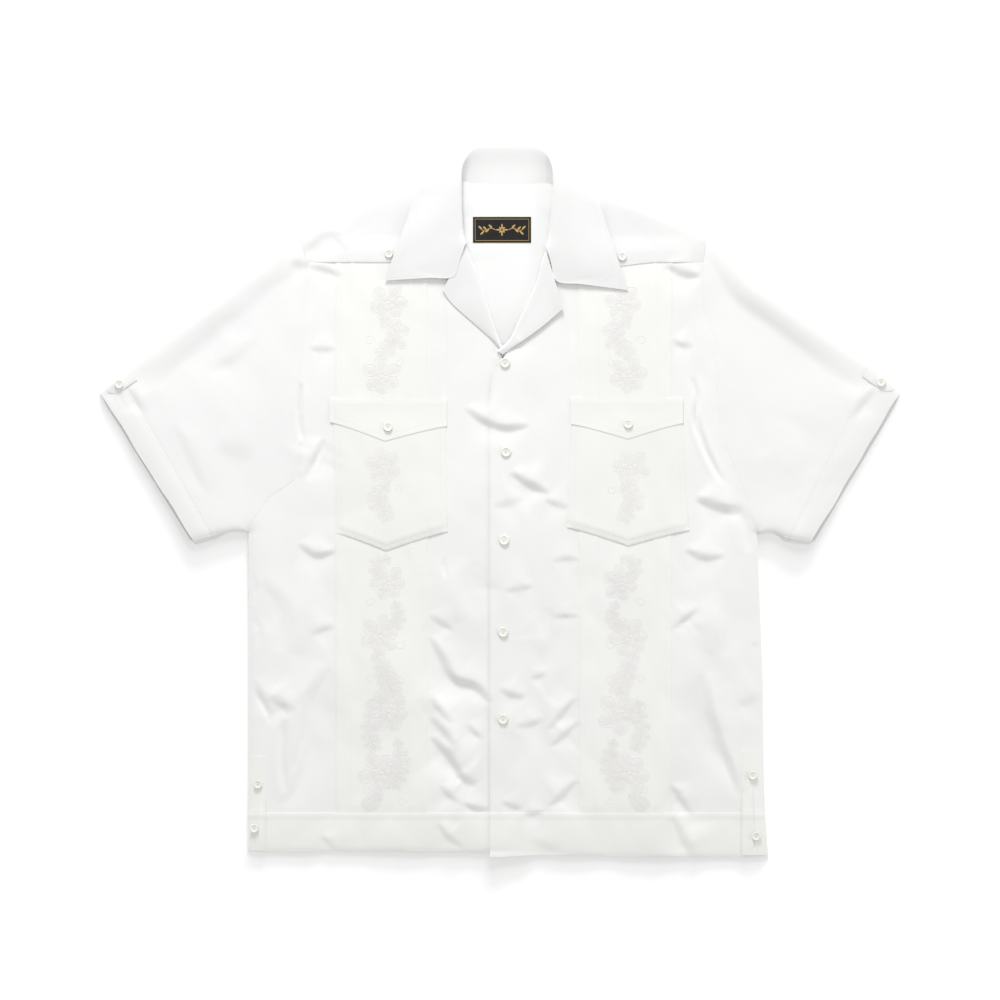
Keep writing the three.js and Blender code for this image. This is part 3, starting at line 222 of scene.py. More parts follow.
def rows(table, at, key, col):
    """A column of a table at a place, on a smooth curve that doesn't overshoot its rows."""
    xs, ys = table[:, key], table[:, col]
    h, d = np.diff(xs), np.diff(ys) / np.diff(xs)
    m = np.zeros_like(ys)
    same = d[:-1] * d[1:] > 0
    m[1:-1][same] = 2 * d[:-1][same] * d[1:][same] / (d[:-1][same] + d[1:][same])
    m[0], m[-1] = d[0], d[-1]
    at = np.clip(np.asarray(at, float), xs[0], xs[-1])
    i = np.clip(np.searchsorted(xs, at, side="right") - 1, 0, len(xs) - 2)
    t = (at - xs[i]) / h[i]
    a, b = 2 * t ** 3 - 3 * t ** 2 + 1, t ** 3 - 2 * t ** 2 + t
    return a * ys[i] + b * h[i] * m[i] + (1 - a) * ys[i + 1] + (t ** 3 - t ** 2) * h[i] * m[i + 1]


def spline(points, count):
    """Points along a smooth curve through the given ones (centripetal Catmull-Rom)."""
    p = np.asarray(points, float)
    p = np.vstack([2 * p[0] - p[1], p, 2 * p[-1] - p[-2]])
    out = []
    for u in np.linspace(0, len(p) - 3, count):
        i = min(int(u), len(p) - 4)
        t = u - i
        q = p[i:i + 4]
        k = [max(1e-6, math.sqrt(np.linalg.norm(q[j + 1] - q[j]))) for j in range(3)]
        m1 = (q[1] - q[0]) / k[0] - (q[2] - q[0]) / (k[0] + k[1]) + (q[2] - q[1]) / k[1]
        m2 = (q[2] - q[1]) / k[1] - (q[3] - q[1]) / (k[1] + k[2]) + (q[3] - q[2]) / k[2]
        m1, m2 = m1 * k[1], m2 * k[1]
        out.append((2 * t ** 3 - 3 * t ** 2 + 1) * q[1] + (t ** 3 - 2 * t ** 2 + t) * m1
                   + (3 * t ** 2 - 2 * t ** 3) * q[2] + (t ** 3 - t ** 2) * m2)
    return np.array(out)


def resample(line, step):
    """The same line with points a step apart."""
    line = np.asarray(line, float)
    run = np.concatenate([[0], np.cumsum(np.linalg.norm(np.diff(line, axis=0), axis=1))])
    n = max(2, int(round(run[-1] / step)) + 1)
    at = np.linspace(0, run[-1], n)
    return np.column_stack([np.interp(at, run, line[:, k]) for k in range(line.shape[1])])


# ---- maps over the whole shirt, one value for each millimetre -------------------------------------------
GX, GY = np.arange(-450.0, 450.01), np.arange(-402.0, 402.01)
XX, YY = np.meshgrid(GX, GY)


def at(field, x, y):
    fx = np.clip(np.asarray(x, float) - GX[0], 0, len(GX) - 1.001)
    fy = np.clip(np.asarray(y, float) - GY[0], 0, len(GY) - 1.001)
    i, j = fx.astype(int), fy.astype(int)
    u, v = fx - i, fy - j
    return (field[j, i] * (1 - u) + field[j, i + 1] * u) * (1 - v) + (field[j + 1, i] * (1 - u) + field[j + 1, i + 1] * u) * v


def near_line(line, reach):
    """Window of the map round a line: slices, distance, side (+1 left of it) and share along it."""
    line = np.asarray(line, float)
    i0, i1 = np.searchsorted(GX, [line[:, 0].min() - reach, line[:, 0].max() + reach])
    j0, j1 = np.searchsorted(GY, [line[:, 1].min() - reach, line[:, 1].max() + reach])
    win = (slice(j0, j1), slice(i0, i1))
    x, y = XX[win], YY[win]
    best, side, share = np.full(x.shape, 1e9), np.zeros(x.shape), np.zeros(x.shape)
    run = np.concatenate([[0], np.cumsum(np.linalg.norm(np.diff(line, axis=0), axis=1))])
    for k in range(len(line) - 1):
        (ax, ay), (bx, by) = line[k], line[k + 1]
        dx, dy = bx - ax, by - ay
        l2 = dx * dx + dy * dy + 1e-9
        t = np.clip(((x - ax) * dx + (y - ay) * dy) / l2, 0, 1)
        ex, ey = x - ax - t * dx, y - ay - t * dy
        d = np.hypot(ex, ey)
        m = d < best
        best = np.where(m, d, best)
        side = np.where(m, np.where(dx * ey - dy * ex >= 0, 1.0, -1.0), side)
        share = np.where(m, (run[k] + t * math.sqrt(l2)) / run[-1], share)
    return win, best, side, share


def soften(field, times):
    for _ in range(times):
        p = np.pad(field, 1, mode="edge")
        p = (p[:-2] + 2 * p[1:-1] + p[2:]) / 4
        field = (p[:, :-2] + 2 * p[:, 1:-1] + p[:, 2:]) / 4
    return field


def waves(sx, sy, seed, angle=0.0):
    """Soft random relief of about unit height, with cells sx by sy mm turned by an angle."""
    c, s = math.cos(math.radians(angle)), math.sin(math.radians(angle))
    u, v = (XX * c + YY * s) / sx, (-XX * s + YY * c) / sy
    u, v = u - u.min() + 1, v - v.min() + 1
    grid = np.random.default_rng(seed).standard_normal((int(v.max()) + 4, int(u.max()) + 4))
    i, j = u.astype(int), v.astype(int)
    fu, fv = u - i, v - j

    def kernel(f):
        return ((1 - f) ** 3 / 6, (3 * f ** 3 - 6 * f ** 2 + 4) / 6, (-3 * f ** 3 + 3 * f ** 2 + 3 * f + 1) / 6, f ** 3 / 6)
    wu, wv = kernel(fu), kernel(fv)
    out = np.zeros_like(XX)
    for b in range(4):
        for a in range(4):
            out += grid[j + b - 1, i + a - 1] * wu[a] * wv[b]
    return out * 1.9


def crease_map(table, seed):
    """Sum of the listed creases, each a ridge on the collar's side and a trough beyond, with long slopes outside."""
    out = np.zeros_like(XX)
    for n, (points, width, height) in enumerate(table):
        rng = np.random.default_rng(seed + n)
        line = spline(points, 8 * (len(points) - 1) + 1)
        win, d, side, share = near_line(line, 10.5 * (width + 1.2))
        knots = np.linspace(0, 1, 7)
        tall = height * np.interp(share, knots, rng.uniform(0.78, 1.18, 7))
        wide = width * (1 + 1.1 / width) * np.interp(share, knots, rng.uniform(0.8, 1.25, 7))
        along = line[-1] - line[0]
        towards = 1.0 if (along[1] * 0.2 + along[0]) >= 0 else -1.0
        s = d * side * towards / wide
        s = np.where(s > 0, s / 1.25, s)
        s = np.sign(s) * np.where(np.abs(s) > 1, 1 + (np.abs(s) - 1) / np.where(s > 0, 2.2, 2.8), np.abs(s))
        fade = np.clip(np.sin(np.pi * share), 0, 1) ** (0.62 + 1.5 * smooth((np.abs(s) - 0.6) / 1.4))
        out[win] += tall * fade * s * np.exp(0.5 - 0.5 * s * s)
    return out


def valley_map(table, seed):
    """Sum of narrow valleys with low shoulders."""
    out = np.zeros_like(XX)
    for n, (points, width, depth) in enumerate(table):
        rng = np.random.default_rng(seed + n)
        win, d, side, share = near_line(spline(points, 8 * (len(points) - 1) + 1), 5 * width)
        deep = depth * np.interp(share, np.linspace(0, 1, 6), rng.uniform(0.75, 1.2, 6)) * np.clip(np.sin(np.pi * share), 0, 1) ** 0.6
        s = d / width
        out[win] += deep * (0.22 * np.exp(-((s - 2.3) / 1.2) ** 2) - np.exp(-s * s))
    return out


def groove(field, line, width, depth, reach=4.0):
    win, d, side, share = near_line(line, reach * width)
    field[win] -= depth * np.exp(-(d / width) ** 2)


# armhole seams, from the shoulder to the underarm
def armhole(side, n=90):
    col = 1 if side == "left" else 2
    top, low = ARM_TOP[side], rows(BODY, YOKE_EDGE, 0, col)
    ys = np.linspace(YOKE_EDGE - 1, -36, n)
    line = [top, mix(np.array(top), np.array([float(low), YOKE_EDGE]), 0.5), (float(low), YOKE_EDGE)]
    return resample(np.vstack([line, np.column_stack([rows(BODY, ys, 0, col), ys])]), 3.0)


NECK_POINT = {"left": (-49, 370), "right": (66, 360)}
away, side_edge = np.full_like(XX, 1e9), np.full_like(XX, 1e9)
for side_name in ("left", "right"):
    s_, b_ = SLEEVE[side_name], BAND[side_name]
    c_ = 1 if side_name == "left" else 2
    flank = np.vstack([[HEM_SIDE[side_name], -393.0], BODY[BODY[:, 0] <= -36][:, [c_, 0]]])
    for line_ in (np.vstack([s_[:, 1:3], b_[:, 1:3]]), np.vstack([s_[:, 3:5], b_[:, 3:5]]), flank,
                  np.array([ARM_TOP[side_name], NECK_POINT[side_name]])):
        win_, d_, _s, _h = near_line(line_, 1000)
        away[win_] = np.minimum(away[win_], d_ / ((2.0 if side_name == "left" else 1.7) if line_ is flank else 1.0))
        if line_ is flank:
            side_edge[win_] = np.minimum(side_edge[win_], d_)


def quiet_zone():
    """Less relief under the collar, round the neck and near the label."""
    r = np.hypot((XX - 8) / 118, (YY - 318) / 78)
    return 1 - 0.85 * smooth((1.15 - r) / 0.35)


body_mask = smooth((245 - YY) / 60) * smooth((262 - np.abs(XX - 5)) / 30)
lower = 0.4 + 0.6 * smooth((110 - YY) / 260)
sides = smooth((np.abs(XX - 5) - 168) / 40)
relief = 1.15 * waves(44, 112, 3, 24) * lower * body_mask
relief += 0.85 * waves(30, 84, 4, -12) * lower * body_mask * (0.35 + sides)
fold = np.abs(waves(30, 74, 5, -33)) - 0.6
relief += 0.62 * soften(fold, 2) * lower * body_mask
fold = np.abs(waves(24, 60, 9, 28)) - 0.6
relief += 0.40 * soften(fold, 1) * lower * body_mask
relief += 0.78 * waves(58, 118, 7, -42) * (1 - 0.6 * body_mask)
relief += 0.30 * (np.abs(waves(40, 96, 10, 36)) - 0.6) * (1 - body_mask)
relief += 0.12 * waves(9, 17, 8, 15) * (0.5 + 0.5 * body_mask)
relief = soften(relief * quiet_zone(), 2)
relief += soften(crease_map(CREASES, 11) + valley_map(VALLEYS, 51), 1)
BACK = np.zeros_like(XX)
BACK += np.maximum(0, crease_map(BACK_CREASES, 71)) * 0.9
BACK += 0.35 * np.maximum(0, waves(38, 90, 21, 20) - 0.3)
BACK = soften(BACK * (1 - np.exp(-away / 16)), 3)
BACK = np.clip(BACK, 0, 1.5)

NECK_IN = smooth((58 - np.abs(XX - 7)) / 34) * smooth((YY - 150) / 70) * smooth((352 - YY) / 30)
rolled = 1.5 * np.exp(-(side_edge / 45) ** 2)      # the sides roll down further in than the sleeves
LIE = 0.55 + (2.4 + rolled) * (1 - np.exp(-away / 3.4)) + (2.1 - rolled) * (1 - np.exp(-away / 38))
LIE -= 0.9 * smooth((100 - np.abs(XX - 7)) / 60) * smooth((YY - 130) / 70) * smooth((300 - YY) / 40)
ends = np.full_like(XX, 1e9)
for line_ in (HEM[:, :2], BAND["left"][-1].reshape(1, -1)[:, 1:].reshape(2, 2), BAND["right"][-1].reshape(1, -1)[:, 1:].reshape(2, 2)):
    win_, d_, _s, _h = near_line(line_, 1000)
    ends[win_] = np.minimum(ends[win_], d_)
LIE *= 1 - 0.46 * np.exp(-ends / 15)
for cx_, cy_, tall_, wide_ in ((-324, -42, 3.8, 46), (329, -43, 4.6, 38)):      # lower corners of the sleeves stand a little off the floor
    LIE += tall_ * np.exp(-(np.hypot(XX - cx_, YY - cy_) / wide_) ** 1.4)
LIE += relief * (1 - np.exp(-away / 7)) * (1 - 0.45 * np.exp(-ends / 14))
for side_name in ("left", "right"):
    groove(LIE, armhole(side_name), 1.9, 0.10)
    win_, d_, _s, share_ = near_line(armhole(side_name), 26)
    along_ = share_ * (330 if side_name == "left" else 335)
    gather = np.sin(along_ / 2.6 + 1.3 * np.sin(along_ / 17)) * (0.5 + 0.5 * np.sin(along_ / 29 + 1))
    LIE[win_] += 0.07 * gather * np.exp(-d_ / 6)
LIE = np.maximum(LIE, BACK + CLOTH + 0.12)


def lie(x, y):
    return at(LIE, x, y)


def neck_lift(x, y):
    return 1.7 * smooth((y - 300) / 26) * smooth((116 - np.abs(x - 9)) / 18)


def overlap(side, x, y):
    if side == "left":
        return 0 * x
    over = 1.5 * (1 - smooth((x - 20) / 24)) * smooth((BREAK + 5 - y) / 30 + 0.4)
    return np.where(y < BREAK + 5, over, 0)


# ---- materials ------------------------------------------------------------------------------------------
def cloth_material(name, colour, turn=0.0, roughness=0.52, weave=0.00042, crinkle=0.3, sheen=0.22):
    """Fine smooth weave with a soft sheen: two thread directions, slubs and small crinkles."""
    mat = bpy.data.materials.new(name)
    mat.use_nodes = True
    nodes, link = mat.node_tree.nodes, mat.node_tree.links.new
    bsdf = nodes["Principled BSDF"]
    coord, place = nodes.new("ShaderNodeTexCoord"), nodes.new("ShaderNodeMapping")
    link(coord.outputs["Object"], place.inputs["Vector"])
    place.inputs["Rotation"].default_value = (0, 0, math.radians(turn))

    def wave(direction, period, distortion=0.0):
        w = nodes.new("ShaderNodeTexWave")
        w.wave_type, w.bands_direction, w.wave_profile = "BANDS", direction, "SIN"
        w.inputs["Scale"].default_value = math.pi / (10 * period)
        w.inputs["Distortion"].default_value = distortion
        w.inputs["Detail"].default_value = 1
        link(place.outputs["Vector"], w.inputs["Vector"])
        return w
    warp, weft = wave("X", weave), wave("Y", weave * 1.15)
    twill = wave("DIAGONAL", weave * 1.7)
    threads = nodes.new("ShaderNodeMath"); threads.operation = "MULTIPLY"
    link(warp.outputs["Fac"], threads.inputs[0]); link(weft.outputs["Fac"], threads.inputs[1])
    both = nodes.new("ShaderNodeMath"); both.operation = "ADD"
    link(threads.outputs[0], both.inputs[0]); link(twill.outputs["Fac"], both.inputs[1])

    def noise(scale, detail, stretch=(1, 1, 1), rough=0.55):
        m = nodes.new("ShaderNodeMapping")
        m.inputs["Scale"].default_value = stretch
        link(place.outputs["Vector"], m.inputs["Vector"])
        n = nodes.new("ShaderNodeTexNoise")
        n.inputs["Scale"].default_value, n.inputs["Detail"].default_value = scale, detail
        n.inputs["Roughness"].default_value = rough
        link(m.outputs["Vector"], n.inputs["Vector"])
        return n
    slub = noise(260, 3, (1, 0.06, 1))
    cross_slub = noise(240, 3, (0.06, 1, 1))
    blotch = noise(11, 4)
    crumple = noise(38, 5, (1.0, 0.75, 1.0), 0.5)

    ramp = nodes.new("ShaderNodeValToRGB")
    ramp.color_ramp.elements[0].position, ramp.color_ramp.elements[1].position = 0.3, 0.7
    ramp.color_ramp.elements[0].color = (colour[0] * 0.985, colour[1] * 0.988, colour[2] * 0.975, 1)
    ramp.color_ramp.elements[1].color = (*colour, 1)
    link(blotch.outputs["Fac"], ramp.inputs["Fac"])
    streak = nodes.new("ShaderNodeMixRGB"); streak.blend_type = "MULTIPLY"
    streak.inputs["Fac"].default_value = 0.012
    link(ramp.outputs["Color"], streak.inputs["Color1"]); link(slub.outputs["Fac"], streak.inputs["Color2"])
    link(streak.outputs["Color"], bsdf.inputs["Base Color"])

    def bump(height, strength, distance, before=None):
        b = nodes.new("ShaderNodeBump")
        b.inputs["Strength"].default_value, b.inputs["Distance"].default_value = strength, distance
        link(height, b.inputs["Height"])
        if before is not None:
            link(before.outputs["Normal"], b.inputs["Normal"])
        return b
    b = bump(crumple.outputs["Fac"], crinkle, 0.0012)
    b = bump(cross_slub.outputs["Fac"], 0.06, 0.0001, b)
    b = bump(slub.outputs["Fac"], 0.06, 0.0001, b)
    b = bump(both.outputs[0], 0.2, 0.00006, b)
    link(b.outputs["Normal"], bsdf.inputs["Normal"])
    rough = nodes.new("ShaderNodeMapRange")
    rough.inputs["To Min"].default_value, rough.inputs["To Max"].default_value = roughness - 0.05, roughness + 0.06
    link(slub.outputs["Fac"], rough.inputs["Value"])
    link(rough.outputs["Result"], bsdf.inputs["Roughness"])
    bsdf.inputs["Sheen Weight"].default_value = sheen
    bsdf.inputs["Sheen Roughness"].default_value = 0.4
    bsdf.inputs["Specular IOR Level"].default_value = 0.3
    return mat


def satin_material(name, colour, roughness=0.42, pitch=46.0, deep=0.955):
    """Satin stitch: fine threads side by side across the ribbon, glossy along them."""
    mat = bpy.data.materials.new(name)
    mat.use_nodes = True
    nodes, link = mat.node_tree.nodes, mat.node_tree.links.new
    bsdf = nodes["Principled BSDF"]
    uv = nodes.new("ShaderNodeUVMap")
    w = nodes.new("ShaderNodeTexWave")
    w.wave_type, w.bands_direction = "BANDS", "Y"
    w.inputs["Scale"].default_value, w.inputs["Distortion"].default_value = pitch, 1.2
    w.inputs["Detail Scale"].default_value = 2.0
    link(uv.outputs["UV"], w.inputs["Vector"])
    coord = nodes.new("ShaderNodeTexCoord")
    n = nodes.new("ShaderNodeTexNoise")
    n.inputs["Scale"].default_value, n.inputs["Detail"].default_value = 420, 3
    link(coord.outputs["Object"], n.inputs["Vector"])
    ramp = nodes.new("ShaderNodeValToRGB")
    ramp.color_ramp.elements[0].position, ramp.color_ramp.elements[1].position = 0.15, 0.8
    ramp.color_ramp.elements[0].color = (colour[0] * deep, colour[1] * deep, colour[2] * deep, 1)
    ramp.color_ramp.elements[1].color = (*colour, 1)
    mixer = nodes.new("ShaderNodeMixRGB")
    mixer.inputs["Fac"].default_value = 0.35
    link(w.outputs["Color"], mixer.inputs["Color1"]); link(n.outputs["Fac"], mixer.inputs["Color2"])
    link(mixer.outputs["Color"], ramp.inputs["Fac"])
    link(ramp.outputs["Color"], bsdf.inputs["Base Color"])
    b = nodes.new("ShaderNodeBump")
    b.inputs["Strength"].default_value, b.inputs["Distance"].default_value = 0.4, 0.00012
    link(w.outputs["Fac"], b.inputs["Height"])
    link(b.outputs["Normal"], bsdf.inputs["Normal"])
    r = nodes.new("ShaderNodeMapRange")
    r.inputs["To Min"].default_value, r.inputs["To Max"].default_value = roughness - 0.06, roughness + 0.1
    link(n.outputs["Fac"], r.inputs["Value"]); link(r.outputs["Result"], bsdf.inputs["Roughness"])
    bsdf.inputs["Sheen Weight"].default_value = 0.1
    bsdf.inputs["Specular IOR Level"].default_value = 0.4
    return mat


def thread_material(name, colour):
    mat = bpy.data.materials.new(name)
    mat.use_nodes = True
    nodes, link = mat.node_tree.nodes, mat.node_tree.links.new
    bsdf = nodes["Principled BSDF"]
    coord = nodes.new("ShaderNodeTexCoord")
    w = nodes.new("ShaderNodeTexWave")
    w.wave_type, w.bands_direction = "BANDS", "DIAGONAL"
    w.inputs["Scale"].default_value, w.inputs["Distortion"].default_value = 900, 2.0
    link(coord.outputs["Object"], w.inputs["Vector"])
    ramp = nodes.new("ShaderNodeValToRGB")
    ramp.color_ramp.elements[0].color = (colour[0] * 0.95, colour[1] * 0.95, colour[2] * 0.94, 1)
    ramp.color_ramp.elements[1].color = (*colour, 1)
    link(w.outputs["Fac"], ramp.inputs["Fac"]); link(ramp.outputs["Color"], bsdf.inputs["Base Color"])
    b = nodes.new("ShaderNodeBump")
    b.inputs["Strength"].default_value, b.inputs["Distance"].default_value = 0.4, 0.0001
    link(w.outputs["Fac"], b.inputs["Height"]); link(b.outputs["Normal"], bsdf.inputs["Normal"])
    bsdf.inputs["Roughness"].default_value = 0.55
    bsdf.inputs["Sheen Weight"].default_value = 0.15
    return mat


def label_material():
    """Dense black taffeta with fine ribs."""
    mat = bpy.data.materials.new("label_black")
    mat.use_nodes = True
    nodes, link = mat.node_tree.nodes, mat.node_tree.links.new
    bsdf = nodes["Principled BSDF"]
    coord = nodes.new("ShaderNodeTexCoord")
    a, b = nodes.new("ShaderNodeTexWave"), nodes.new("ShaderNodeTexWave")
    for w, d, p in ((a, "X", 0.00035), (b, "Y", 0.0005)):
        w.wave_type, w.bands_direction = "BANDS", d
        w.inputs["Scale"].default_value = math.pi / (10 * p)
        link(coord.outputs["Object"], w.inputs["Vector"])
    m = nodes.new("ShaderNodeMath"); m.operation = "MULTIPLY"
    link(a.outputs["Fac"], m.inputs[0]); link(b.outputs["Fac"], m.inputs[1])
    n = nodes.new("ShaderNodeTexNoise")
    n.inputs["Scale"].default_value, n.inputs["Detail"].default_value = 300, 4
    link(coord.outputs["Object"], n.inputs["Vector"])
    ramp = nodes.new("ShaderNodeValToRGB")
    ramp.color_ramp.elements[0].color = (0.004, 0.004, 0.004, 1)
    ramp.color_ramp.elements[1].color = (0.022, 0.020, 0.018, 1)
    link(n.outputs["Fac"], ramp.inputs["Fac"]); link(ramp.outputs["Color"], bsdf.inputs["Base Color"])
    bp = nodes.new("ShaderNodeBump")
    bp.inputs["Strength"].default_value, bp.inputs["Distance"].default_value = 0.5, 0.0001
    link(m.outputs[0], bp.inputs["Height"]); link(bp.outputs["Normal"], bsdf.inputs["Normal"])
    bsdf.inputs["Roughness"].default_value = 0.62
    bsdf.inputs["Specular IOR Level"].default_value = 0.3
    return mat


def pearl_material(name, colour):
    """Shell button: clear depth with faint clouded bands."""
    mat = bpy.data.materials.new(name)
    mat.use_nodes = True
    nodes, link = mat.node_tree.nodes, mat.node_tree.links.new
    bsdf = nodes["Principled BSDF"]
    coord = nodes.new("ShaderNodeTexCoord")
    n = nodes.new("ShaderNodeTexNoise")
    n.inputs["Scale"].default_value, n.inputs["Detail"].default_value = 170, 4
    n.inputs["Distortion"].default_value = 1.6
    link(coord.outputs["Object"], n.inputs["Vector"])
    ramp = nodes.new("ShaderNodeValToRGB")
    ramp.color_ramp.elements[0].position, ramp.color_ramp.elements[1].position = 0.3, 0.7
    ramp.color_ramp.elements[0].color = (colour[0] * 0.955, colour[1] * 0.96, colour[2] * 0.92, 1)
    ramp.color_ramp.elements[1].color = (*colour, 1)
    link(n.outputs["Fac"], ramp.inputs["Fac"]); link(ramp.outputs["Color"], bsdf.inputs["Base Color"])
    b = nodes.new("ShaderNodeBump")
    b.inputs["Strength"].default_value, b.inputs["Distance"].default_value = 0.12, 0.0002
    link(n.outputs["Fac"], b.inputs["Height"]); link(b.outputs["Normal"], bsdf.inputs["Normal"])
    bsdf.inputs["Roughness"].default_value = 0.2
    bsdf.inputs["Coat Weight"].default_value = 0.5
    bsdf.inputs["Coat Roughness"].default_value = 0.1
    return mat


# All the cloth pieces are one white fabric. The small differences between their whites below are painted light and
# shade: each piece is made lighter or darker as a whole to stand in for how the lamps fall on it.
M = {
    "body": cloth_material("cloth_body", (0.930, 0.930, 0.924), crinkle=0.2),
    "hem": cloth_material("cloth_hem", (0.944, 0.945, 0.926), crinkle=0.15),
    "strip": cloth_material("cloth_strip", (0.937, 0.938, 0.920), crinkle=0.15),
    "pocket": cloth_material("cloth_pocket", (0.922, 0.924, 0.903), crinkle=0.2),
    # painted shade: the yokes take a darker white than the body cloth they are cut from, the right yoke darker still
    "yoke": cloth_material("cloth_yoke", (0.894, 0.894, 0.898), crinkle=0.16),
    "yoke_right": cloth_material("cloth_yoke_right", (0.868, 0.868, 0.872), crinkle=0.16),
    # painted shade: the collar and lapels take a darker white than the body cloth they are cut from
    "collar": cloth_material("cloth_collar", (0.882, 0.882, 0.887), crinkle=0.08),
    # painted shade: sleeves, bands and tabs take darker copies of the body cloth, the left darker than the right
    "sleeve_left": cloth_material("cloth_sleeve_left", (0.919, 0.919, 0.921), turn=-52, crinkle=0.16),
    "sleeve_right": cloth_material("cloth_sleeve_right", (0.926, 0.927, 0.923), turn=52, crinkle=0.16),
    "back": cloth_material("cloth_back", (0.925, 0.925, 0.912), crinkle=0.2),
    # painted light: the back, back yoke and collar stand seen through the neck take a lighter white than the body cloth
    "inside": cloth_material("cloth_inside", (0.935, 0.935, 0.939), crinkle=0.12, roughness=0.6),
    "stitch": thread_material("thread_white", (0.925, 0.922, 0.905)),
    "satin_rose": satin_material("satin_rose", (0.928, 0.910, 0.898), deep=0.97),
    "satin_sage": satin_material("satin_sage", (0.885, 0.888, 0.862), deep=0.965),
    "satin_sand": satin_material("satin_sand", (0.918, 0.906, 0.878), deep=0.97),
    "label": label_material(),
    "gold": satin_material("thread_gold", (0.60, 0.40, 0.14), 0.35, deep=0.8),
    "pearl": pearl_material("pearl_shell", (0.945, 0.945, 0.895)),
}


# ---- meshes -------------------------------------------------------------------------------------------------
def build(name, verts, quads, tris, materials, uvs=None, face_mats=None, sharp=52):
    """A mesh object from arrays, in millimetres."""
    quads = np.asarray(quads, np.int64).reshape(-1, 4)
    tris = np.asarray(tris, np.int64).reshape(-1, 3)
    loops = np.concatenate([quads.ravel(), tris.ravel()])
    starts = np.concatenate([np.arange(len(quads)) * 4, len(quads) * 4 + np.arange(len(tris)) * 3])
    me = bpy.data.meshes.new(name)
    me.vertices.add(len(verts))
    me.vertices.foreach_set("co", (np.asarray(verts, float) * MM).astype(np.float32).ravel())
    me.loops.add(len(loops))
    me.loops.foreach_set("vertex_index", loops.astype(np.int32))
    me.polygons.add(len(starts))
    me.polygons.foreach_set("loop_start", starts.astype(np.int32))
    if uvs is not None:
        layer = me.uv_layers.new(name="uv")
        layer.data.foreach_set("uv", np.asarray(uvs, np.float32)[loops].ravel())
    for m in (materials if isinstance(materials, (list, tuple)) else [materials]):
        me.materials.append(m)
    if face_mats is not None:
        me.polygons.foreach_set("material_index", np.asarray(face_mats, np.int32))
    me.update(calc_edges=True)
    me.validate()
    me.shade_smooth()
    if sharp:
        me.set_sharp_from_angle(angle=math.radians(sharp))
    ob = bpy.data.objects.new(name, me)
    bpy.context.scene.collection.objects.link(ob)
    return ob


def shell_faces(r, c):
    """Faces that close two grids of r by c points, the lower first, into one wall."""
    n = r * c
    idx = np.arange(n).reshape(r, c)
    a, b, d, e = idx[:-1, :-1], idx[:-1, 1:], idx[1:, 1:], idx[1:, :-1]
    low = np.stack([a, e, d, b], -1).reshape(-1, 4)
    high = np.stack([a, b, d, e], -1).reshape(-1, 4) + n
    rim = np.concatenate([idx[0, :-1], idx[:-1, -1], idx[-1, :0:-1], idx[:0:-1, 0]])
    nxt = np.roll(rim, -1)
    side = np.stack([rim, nxt, nxt + n, rim + n], -1)
    return np.concatenate([low, high, side])


def facing_up(quads, verts):
    """Turns every face if the wall is inside out."""
    p = verts[quads[:, :3]]
    volume = np.einsum("ij,ij->i", p[:, 0], np.cross(p[:, 1], p[:, 2])).sum()
    q = verts[quads[:, [0, 2, 3]]]
    volume += np.einsum("ij,ij->i", q[:, 0], np.cross(q[:, 1], q[:, 2])).sum()
    return quads if volume > 0 else quads[:, ::-1]


def block_min(z, k):
    """Least height within k cells of each point."""
    for axis in (0, 1):
        p = np.pad(z, [(k, k) if a == axis else (0, 0) for a in (0, 1)], mode="edge")
        n = z.shape[axis]
        z = np.min([np.take(p, np.arange(s, s + n), axis=axis) for s in range(2 * k + 1)], axis=0)
    return z


def edge_loop(idx):
    return np.concatenate([idx[0, :-1], idx[:-1, -1], idx[-1, :0:-1], idx[:0:-1, 0]])


def fitted(n, k=3):
    """Nearest count of points that a coarse grid of every k-th point ends on."""
    return k * max(1, round((n - 1) / k)) + 1


def fine_shell(node, top, under, material, rests=(), k=3, sharp=52):
    """A laid panel whose upper face is dense and whose underside takes every k-th point, never above it."""
    r, c = top.shape[:2]
    assert (r - 1) % k == 0 and (c - 1) % k == 0, (node, r, c)
    low = top[::k, ::k].copy()
    low[..., 2] = block_min(under, k)[::k, ::k]
    rl, cl = low.shape[:2]
    m = rl * cl
    li, hi = np.arange(m).reshape(rl, cl), m + np.arange(r * c).reshape(r, c)
    quads = np.concatenate([
        np.stack([li[:-1, :-1], li[1:, :-1], li[1:, 1:], li[:-1, 1:]], -1).reshape(-1, 4),
        np.stack([hi[:-1, :-1], hi[:-1, 1:], hi[1:, 1:], hi[1:, :-1]], -1).reshape(-1, 4)])
    lo, up = edge_loop(li), edge_loop(hi)
    nxt = np.roll(lo, -1)
    up = np.append(up, up[0])
    tris = [np.column_stack([lo, nxt, up[k::k]])]
    for j in range(k, 0, -1):
        tris.append(np.column_stack([lo, up[j:len(up) - k + j:k], up[j - 1:len(up) - k + j - 1:k]]))
    tris = np.concatenate(tris)
    verts = np.vstack([low.reshape(-1, 3), top.reshape(-1, 3)])
    first = top[1, 0] - top[0, 0], top[0, 1] - top[0, 0]
    if first[1][0] * first[0][1] - first[1][1] * first[0][0] < 0:
        quads, tris = quads[:, ::-1], tris[:, ::-1]
    ob = build("cloth_" + node, verts, quads, tris, material, sharp=sharp)
    keep(ob, node)
    SHEETS[ob.name] = (extent(top), area_of(top), rests)
    return ob


def fine_panel(node, grid, material, wall=CLOTH, rests=()):
    top = grid.copy()
    top[..., 2] += wall
    return fine_shell(node, top, grid[..., 2], material, rests)


def area_of(grid):
    a, b, c, d = grid[:-1, :-1], grid[:-1, 1:], grid[1:, 1:], grid[1:, :-1]
    return float((np.linalg.norm(np.cross(b - a, c - a), axis=-1) + np.linalg.norm(np.cross(c - a, d - a), axis=-1)).sum() / 2)


